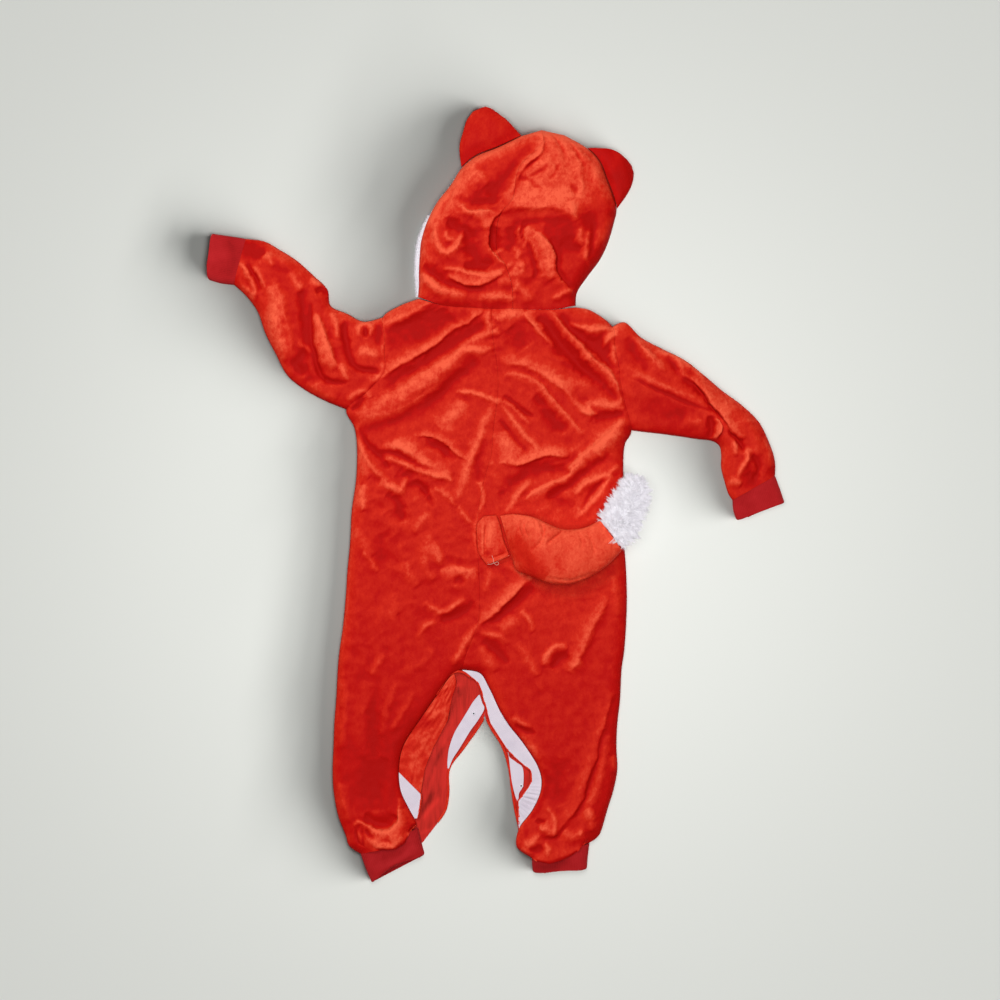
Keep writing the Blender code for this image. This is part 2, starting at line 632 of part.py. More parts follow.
def pressed_flat(ring_places):
    """A ring whose upper and lower halves meet in one line, which closes the end of a tube."""
    flat = ring_places.copy()
    flat[:, 2] = (ring_places[:, 2] + ring_places[::-1, 2]) / 2
    return flat[None]


def on_floor(plan):
    return np.zeros(plan.shape[:2])


def on_back(plan):
    return np.full(plan.shape[:2], TAIL_REST)


def off_the_side(plan):
    """Level on the cloth, then down to the surface beyond the garment's side."""
    start, run, lowest = TIP_DROP
    share = np.clip((plan[..., 0] - start) / run, 0, 1)
    return TAIL_REST + share * (lowest - TAIL_REST)


def make_padded(name, table, rest, steps, finish, locks=0, base=None):
    places = padded_rings(table, rest, steps, locks, base)
    away = places[0, :, :2] - FACE_CENTRE if base is not None else places[1, :, :2] - places[0, :, :2]
    places[0, :, :2] += away / np.maximum(np.linalg.norm(away, axis=1), 1e-6)[:, None] * PADDED_GAP
    places[:, -1] = places[:, 0]
    places = np.concatenate([pressed_flat(places[0]), places, pressed_flat(places[-1])])
    add_object(name, tube_mesh(places), finish)


def band_plan(leg_edge, table):
    """A band's places, between the back's own edge line and the band's reach."""
    rows = body_rows()
    rows = rows[(rows >= table[0].row) & (rows <= table[-1].row)]
    start = branch(BACK_SEAM, leg_edge, rows)
    known = [reach.row for reach in table]
    end = np.column_stack([np.interp(rows, known, [reach.end_x for reach in table]),
                           np.interp(rows, known, [reach.end_y for reach in table])])
    return spread(start, end, BAND_COLUMNS, (BAND_GAP, 0.0))


def make_bands():
    for name, table in BACK_BANDS.items():
        left = name.endswith("_left")
        plan = band_plan(BACK_OPEN_LEFT if left else BACK_OPEN_RIGHT, table)
        if name == "back_tape_left":
            plan = draw_back(plan, 0, 1)
        finish = VELOUR if name == "back_band_left" else WHITE_TAPE
        add_object(name, sheet_mesh(with_height(plan, OPEN_EDGE)), finish, TAPE)
    for name, table in FRONT_TAPES.items():
        rows = np.linspace(0, len(table) - 1, 2 * (len(table) - 1) + 1)
        start = smooth(columns(table, 0), rows)
        plan = spread(start, smooth(columns(table, 2), rows), BAND_COLUMNS)
        add_object(name, sheet_mesh(with_height(plan, FRONT_TAPE_LEVEL)), WHITE_TAPE, TAPE)


def clear_scene():
    for item in list(bpy.data.objects):
        bpy.data.objects.remove(item, do_unlink=True)


def main():
    make_backs()
    make_fronts()
    make_sleeve("sleeve_left", LEFT_SLEEVE, LEFT_SIDE)
    make_sleeve("sleeve_right", RIGHT_SLEEVE, RIGHT_SIDE)
    for name, table in CUFFS.items():
        make_cuff(name, table)
    make_hood()
    make_hood_trim()
    for name, table in EARS.items():
        make_padded(name, table, on_floor, EAR_STEPS, VELOUR, base=EAR_BASES[name])
    make_padded("tail_body", TAIL, on_back, TAIL_STEPS, VELOUR)
    make_padded("tail_tip", TAIL_TIP, off_the_side, TIP_STEPS, WHITE_FUR, locks=LOCKS)
    make_padded("tail_tab", TAIL_TAB, on_back, TAB_STEPS, VELOUR)
    make_bands()


clear_scene()
garment = bpy.data.collections.new("fox_onesie")
bpy.context.scene.collection.children.link(garment)
main()
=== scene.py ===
"""The looks of a toddler's fox onesie that lies flat on its front, with its back and hood up.

Tables are in millimetres: +X to the right of the laid garment, +Y towards the hood and +Z up
from the surface that it lies on. Left and right are as seen from above.
"""
from collections import namedtuple
import math

import bmesh
import bpy
import numpy as np
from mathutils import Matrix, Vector, noise


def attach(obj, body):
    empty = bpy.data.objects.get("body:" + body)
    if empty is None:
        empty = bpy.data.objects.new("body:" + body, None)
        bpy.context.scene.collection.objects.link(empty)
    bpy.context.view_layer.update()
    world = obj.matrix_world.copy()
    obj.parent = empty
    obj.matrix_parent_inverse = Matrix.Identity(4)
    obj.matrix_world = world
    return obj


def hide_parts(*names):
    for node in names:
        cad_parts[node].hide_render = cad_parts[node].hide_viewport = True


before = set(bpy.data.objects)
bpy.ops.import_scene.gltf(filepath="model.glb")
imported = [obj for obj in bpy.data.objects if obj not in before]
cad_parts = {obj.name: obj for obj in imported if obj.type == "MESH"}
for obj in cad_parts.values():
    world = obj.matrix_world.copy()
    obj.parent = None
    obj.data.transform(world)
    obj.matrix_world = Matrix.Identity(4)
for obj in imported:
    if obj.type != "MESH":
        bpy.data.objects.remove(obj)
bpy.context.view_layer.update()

bl_info = {
    "name": "Fox Onesie",
    "version": (1, 0, 0),
    "blender": (4, 5, 0),
    "location": "View3D > Sidebar > Onesie",
    "description": "Dresses a laid fox onesie in velour, rib, tape and fur",
    "category": "Object",
}

MM = 0.001

# Walls and the gaps between pieces. SEAM_DIP to FOLDS_HELD say how seams press the cloth and hold
# its folds; RISE scales the height of all creases and STEEPNESS sharpens the side they lean to.
WALL = 1.6
TAPE = 1.2
SEAM_GAP = 0.12
END_GAP = 0.15
NECK_CORNER_EASE = 1.8
PADDED_GAP = 0.6
BAND_GAP = 0.5
SEAM_DIP = 0.55
CENTRE_DIP = 0.2
SEAM_WIDTH = 2.0
SEAM_HOLD = 7.0
FOLDS_HELD = 0.45
RISE = 0.8
STEEPNESS = 0.4

# Heights over the surface that the garment lies on, the widths of its rolled edges, how far
# from the tail's middle line it is pressed, and the share of its folds that this takes away
SIDE_EDGE = 3.4
OPEN_EDGE = 4.8
LIFT = 7.5
LEAST_LIFT = 3.0
ROLL = 16.0
FRONT_TAPE_LEVEL = 3.1
CUFF_LIFT = 7.0
CUFF_ROLL = 9.6
TAIL_REST = 11.8
TAIL_PRESS = 38.0
FOLDS_PRESSED = 0.9
TIP_DROP = (150.0, 28.0, 1.0)

# How wide the panels are about, and how far apart the rows of a leg's table
PANEL_WIDTH = 165
SLEEVE_WIDTH = 105
HOOD_WIDTH = 118
ROW_PITCH = 34

# The fronts: level of their inside, wall, coarser grid, and the height that counts as the floor
FRONT_LEVEL = WALL - 0.25
FRONT_WALL = WALL - 0.35
FRONT_COLUMNS = 48
FRONT_SPACING = 3.2
FRONT_FLOOR = 0.4

CUFF_LENGTH = 34
CUFF_COLUMNS = 140
EDGE_CORD = 1.5
FRONT_EDGE_CORD = 1.4
TIP_MIDDLE = (137.0, -30.0)
LOWEST_HAIR = 1.2
PLUSH_SEED = 7
FUR_SEED = 11

# How far creases stray from their paths: amount, size of the lumps and seed
WANDER = ((2.2, 22, 1), (1.0, 7, 3), (0.7, 3.8, 13))

FRONT_NECK = (-4.0, 213.0)
FRONT_CROTCH = (-12.0, -254.0)
LINE_STEPS = 6

Trunk = namedtuple("Trunk", "left_x left_y seam_x seam_y right_x right_y")
Leg = namedtuple("Leg", "side_x side_y back_x back_y front_x front_y")
Section = namedtuple("Section", "start_x start_y end_x end_y")
Padded = namedtuple("Padded", "start_x start_y end_x end_y thickness")
Hood = namedtuple("Hood", "left_x left_y seam_x seam_y right_x right_y")
Reach = namedtuple("Reach", "row end_x end_y")
Crease = namedtuple("Crease", "name rise lean sheen width path")

TRUNK = [
    Trunk(-89, 225, -4, 212, 92, 216),
    Trunk(-110, 217, -4, 199, 111, 211),
    Trunk(-129, 204, -3, 183, 134, 193),
    Trunk(-127, 181, -1, 167, 137, 169),
    Trunk(-127, 160, 2, 148, 141, 148),
    Trunk(-128, 141, 3, 128, 143, 128),
    Trunk(-149, 116, 2, 107, 149, 102),
    Trunk(-171, 98, -1, 86, 156, 74),
    Trunk(-162, 77, -3, 68, 149, 59),
    Trunk(-159, 54, -5, 46, 147, 43),
    Trunk(-160, 18, -13, 17, 147, 16),
    Trunk(-165, -18, -20, -20, 148, -20),
    Trunk(-167, -55, -21, -54, 148, -54),
    Trunk(-170, -87, -19, -86, 150, -86),
    Trunk(-172, -118, -18, -118, 151, -118),
    Trunk(-175, -150, -21, -150, 150, -150),
    Trunk(-179, -178, -32, -178, 148, -178),
    Trunk(-181, -199, -39, -200, 145, -199),
]
SHOULDER_ROW = 2
UNDERARM_ROW = 7
FRONT_JOINED = 2

LEFT_LEG = [
    Leg(-182, -217, -52, -208, -12, -220),
    Leg(-183, -236, -67, -229, -12.5, -253),
    Leg(-185, -261, -87, -258, -18, -266),
    Leg(-186, -288, -106, -288, -35, -290),
    Leg(-187, -314, -111, -314, -52, -314),
    Leg(-186, -339, -109, -339, -53, -342),
    Leg(-181, -367, -99, -361, -57, -363),
    Leg(-172, -391, -91, -376, -71, -383),
    Leg(-168, -403, -93, -379, -78, -392),
    Leg(-155, -412, -98, -385, -84, -400),
]
RIGHT_LEG = [
    Leg(144, -217, -18, -204, -12, -220),
    Leg(143, -236, -7, -221, -11.5, -253),
    Leg(140, -263, 10, -256, -6.5, -267),
    Leg(139, -289, 33, -286, 7, -289),
    Leg(140, -314, 50, -314, 14.7, -314),
    Leg(136, -337, 52.7, -337, 17.7, -337),
    Leg(129, -360, 43, -361, 21.5, -361),
    Leg(122, -384, 27, -383, 26, -385),
    Leg(117, -393, 24.5, -404, 24.5, -405),
    Leg(108, -400, 41, -416, 41, -416),
]

NECK = [(-89, 226), (-60, 217), (-22, 214), (-4, 213), (20, 213), (63, 212), (92, 216)]

LEFT_SLEEVE = [
    Section(-129, 204, -171, 98),
    Section(-151, 199, -189, 105),
    Section(-170, 208, -204, 112),
    Section(-189, 217, -221, 122),
    Section(-193, 236, -239, 137),
    Section(-209, 252, -252, 161),
    Section(-228, 269, -264, 185),
    Section(-247, 281, -273, 210),
    Section(-265, 291, -286, 228),
    Section(-286, 294, -300, 241),
]
RIGHT_SLEEVE = [
    Section(134, 193, 156, 74),
    Section(149, 198, 172, 72),
    Section(167, 181, 190, 70),
    Section(191, 168, 212, 67),
    Section(217, 155, 232, 64),
    Section(240, 137, 248, 62),
    Section(260, 120, 257, 56),
    Section(283, 103, 259, 45),
    Section(303, 83, 259, 31),
    Section(316, 56, 263, 15),
    Section(321, 38, 267, 2),
    Section(321, 22, 272, -6),
]
CUFFS = {
    "wrist_cuff_left": [Section(-286, 294, -300, 241), Section(-305, 297, -316, 243),
                        Section(-326, 300, -332, 248)],
    "wrist_cuff_right": [Section(321, 22, 272, -6), Section(327, 6, 273, -18),
                         Section(332, -9, 277, -30)],
    "ankle_cuff_left": [Section(-155, -412, -89, -382), Section(-149, -429, -84, -402),
                        Section(-142, -445, -81, -413)],
    "ankle_cuff_right": [Section(108, -400, 42, -413), Section(106, -416, 42, -424),
                         Section(105, -430, 43, -434)],
}

# How far the middle of the mouth's upper edge stands back, and the radii of the mouth's corners
CUFF_MOUTHS = {"wrist_cuff_left": 0.0, "wrist_cuff_right": 1.0,
               "ankle_cuff_left": 6.0, "ankle_cuff_right": 1.5}
CUFF_CORNERS = {"wrist_cuff_left": (2, 7), "wrist_cuff_right": (2, 5),
                "ankle_cuff_left": (1.5, 5), "ankle_cuff_right": (4, 5)}

# Painted shadows and lighter bands on the cuffs, in colour only: amount, width and path
CUFF_PAINTED_LIGHT = {
    "ankle_cuff_left": [
        (-1.6, 4, [(-130, -412), (-112, -412), (-98, -396)]),
        (1.2, 7, [(-140, -430), (-112, -420), (-90, -400)]),
        (-1.6, 2.5, [(-134, -437), (-108, -424), (-86, -410)])],
    "ankle_cuff_right": [(-2.6, 8, [(42, -421), (62, -425), (84, -412)])],
    "wrist_cuff_left": [(-1.4, 6, [(-304, 292), (-300, 270), (-304, 250)])],
}

HOOD = [
    Hood(30, 412, 53, 419, 79, 413),
    Hood(3, 399, 53, 401, 105, 398),
    Hood(-22, 389, 40, 388, 120, 382),
    Hood(-39, 375, 28, 376, 128, 362),
    Hood(-52, 355, 22, 358, 135, 344),
    Hood(-67, 336, 20, 339, 139, 328),
    Hood(-78, 315, 6, 321, 136, 312),
    Hood(-85, 293, 1, 299, 129, 289),
    Hood(-87, 275, 2, 279, 120, 270),
    Hood(-88, 256, 12, 261, 106, 251),
    Hood(-88, 240, 19, 238, 94, 233),
    Hood(-89, 227, 20, 214, 92, 217),
]

# How far each leg's last row hangs over its cuff: share of the way from side to opening, overhang
ANKLE_PUFFS = {
    "back_left": [(0, 0), (0.2, 2), (0.4, 6), (0.6, 12), (0.8, 10), (1, 1)],
    "back_right": [(0, -1), (0.08, -2), (0.2, 3.5), (0.36, 8), (0.55, 10.5), (0.75, 11),
                   (0.95, 4), (1, 0)],
}
ANKLE_REACH = 22
FULL_LAP = 5
LAP_RISE = 3.2
LAP_DROP = 2.4

FACE_CENTRE = (38, 300)
TRIM_DEPTH = 0.3
TRIM_TUCK = 1.0
TRIM_BULGE = 4.0
TRIM_LEFT = 0.24

EAR_ROWS = {"ear_left": (3, 0), "ear_right": (1, 5)}
EARS = {
    "ear_left": [
        Padded(-39, 376, 29, 412, 10), Padded(-41, 390, 21, 421, 14), Padded(-41, 402, 13, 430, 14),
        Padded(-37, 417, 4, 437, 12), Padded(-33, 430, -4, 443, 9), Padded(-26, 440, -11, 446, 6)],
    "ear_right": [
        Padded(106, 398, 139, 329, 9), Padded(118, 398, 144, 335, 12), Padded(131, 397, 150, 343, 12),
        Padded(141, 393, 155, 352, 11), Padded(150, 386, 158, 361, 8), Padded(156, 379, 159, 369, 5)],
}
TAIL = [
    Padded(5, -24, 19, -72, 8),
    Padded(18, -22, 23, -85, 14),
    Padded(32, -23, 33, -90, 22),
    Padded(45, -26, 45, -95, 29),
    Padded(60, -33, 60, -100, 30),
    Padded(76, -39, 78, -102, 29),
    Padded(93, -39, 96, -98, 28),
    Padded(105, -36, 113, -90, 26),
    Padded(113, -32, 130, -78, 24),
    Padded(119, -29, 144, -63, 21),
]
TAIL_TAB = [
    Padded(-13, -24, 1, -23, 5), Padded(-21, -34, 5, -34, 6), Padded(-21, -49, 9, -51, 6),
    Padded(-19, -66, 14, -64, 6), Padded(-10, -80, 16, -70, 5),
]
TAIL_TIP = [
    Padded(119, -29, 144, -63, 23),
    Padded(120, -18, 158, -54, 32),
    Padded(127, -8, 168, -37, 36),
    Padded(134, 2, 174, -17, 35),
    Padded(141, 12, 178, -2, 31),
    Padded(148, 20, 173, 13, 23),
    Padded(153, 23, 166, 21, 11),
]

BACK_BANDS = {
    "back_band_left": [
        Reach(17.7, -45, -214), Reach(18.4, -46, -222), Reach(19, -50, -233), Reach(20, -55, -259),
        Reach(21, -72, -291), Reach(21.6, -81, -314), Reach(22.15, -86, -343)],
    "back_tape_left": [
        Reach(22.15, -86, -343), Reach(22.7, -86, -348), Reach(23.3, -86.5, -355), Reach(24, -88, -363),
        Reach(24.6, -90, -371)],
    "back_tape_right": [
        Reach(17.1, -37.5, -202.5), Reach(17.5, -30.5, -206.5), Reach(18, -23.5, -211.5),
        Reach(18.4, -19.5, -216), Reach(19, -15.5, -226), Reach(19.5, -11, -243), Reach(20, -5.5, -262),
        Reach(21, 15.5, -294.5), Reach(21.5, 28, -305.5), Reach(22, 41, -316.5), Reach(22.6, 41.5, -329),
        Reach(23, 38, -336), Reach(23.5, 31, -345), Reach(24, 26.5, -351), Reach(24.6, 26.5, -364),
        Reach(25, 26.5, -378)],
}
FRONT_TAPES = {
    "front_tape_left": [
        Section(-19.5, -230, -18, -229.5), Section(-26, -238, -15.5, -238),
        Section(-32, -248, -13, -246), Section(-40, -261, -21, -260),
        Section(-47.5, -274, -29, -271), Section(-53, -290, -40, -289),
        Section(-55, -304, -49, -303), Section(-55, -314, -53.5, -314)],
    "front_tape_right": [
        Section(-2, -254, 7, -250), Section(5, -269, 14, -262), Section(11, -284, 20, -280),
        Section(14.4, -293, 15.6, -292), Section(15.2, -300, 15.8, -300.3), Section(16, -307, 24, -307),
        Section(17, -315, 31.4, -314), Section(19, -330, 31.8, -333), Section(22.5, -345, 27, -343),
        Section(26, -353.5, 26.8, -353)],
}

# Folds of the fronts' inside where it shows: rise, width and path
INSIDE_FOLDS = [
    (-0.9, 2.6, [(-88, -374), (-80, -357), (-70, -340)]),
    (0.9, 3.0, [(-84, -374), (-76, -362), (-64, -348)]),
    (0.7, 2.4, [(-82, -352), (-74, -334), (-70, -312)]),
    (-0.6, 2.0, [(-76, -330), (-68, -306), (-58, -288)]),
    (0.7, 2.2, [(-62, -290), (-52, -268), (-46, -250)]),
    (-0.6, 2.0, [(-58, -262), (-50, -246), (-46, -232)]),
    (0.8, 2.6, [(-58, -232), (-48, -222), (-36, -216)]),
    (-0.8, 2.2, [(-52, -216), (-44, -222), (-40, -232)]),
    (0.6, 2.2, [(-68, -384), (-78, -386), (-88, -390)]),
]

# Folds of the stuffed pieces, as a rise, and the painted light on them, a highlight above zero and a
# painted shade below; each with its width and path
TAIL_FOLDS = [
    (-3.0, 2.4, [(50, -29), (55, -42), (51, -54), (40, -64)]),
    (-1.6, 1.4, [(28, -29), (27, -39), (31, -48)]), (-1.6, 1.4, [(36, -28), (33, -38), (37, -48)]),
    (-1.4, 1.4, [(44, -28), (47, -38), (43, -47)]), (-2.8, 1.5, [(78, -40), (68, -48), (58, -56)]),
    (1.6, 4.0, [(72, -38), (62, -44), (54, -52)]), (-1.2, 1.8, [(56, -93), (84, -97), (114, -87)]),
    (-1.6, 2.2, [(104, -42), (110, -54), (112, -66)]), (-1.4, 2.0, [(94, -42), (98, -52), (97, -62)])]
TAIL_PAINTED_LIGHT = [
    (-0.5, 15, [(10, -40), (22, -54), (32, -70), (46, -88), (56, -96)]),
    (0.2, 7, [(20, -27), (40, -30), (54, -38)]), (0.2, 4, [(54, -47), (50, -60)]),
    (0.2, 1.3, [(60, -94), (78, -96.5), (98, -93)]), (-0.2, 4, [(70, -66), (72, -80), (78, -90)])]
TAB_FOLDS = [
    (0.9, 1.3, [(-13, -30), (-14, -52), (-14, -76)]), (1.2, 1.8, [(-9, -76), (3, -74), (16, -68)]),
    (-1.4, 1.6, [(-11, -36), (-12, -52), (-12, -70)]), (-1.2, 1.5, [(-8, -73), (3, -70), (14, -65)])]
TAB_PAINTED_LIGHT = [
    (0.42, 5, [(-5, -28), (-6, -42), (-9, -60)]), (-0.25, 4, [(-12, -64), (-8, -70)]),
    (-0.2, 4, [(4, -62), (10, -66)]), (0.3, 1.4, [(-14, -30), (-15, -52), (-14, -74)]),
    (0.3, 1.6, [(-8, -77), (3, -75.5), (16, -69.5)])]

# The tab's hem, its loose thread and the velour rim over the crotch
TAB_HEM = [(-10, -77), (2, -75.5), (15.5, -69)]
LOOSE_THREAD = [(-4, -69), (-2.5, -73), (-2, -77), (1, -80), (3.5, -79), (2.5, -76.5),
                (-1, -77.5), (-5, -79), (-9, -79)]
CROTCH_RIM = [(-68, -229), (-60, -215), (-55, -208), (-46, -203), (-37, -203.5), (-29, -209)]
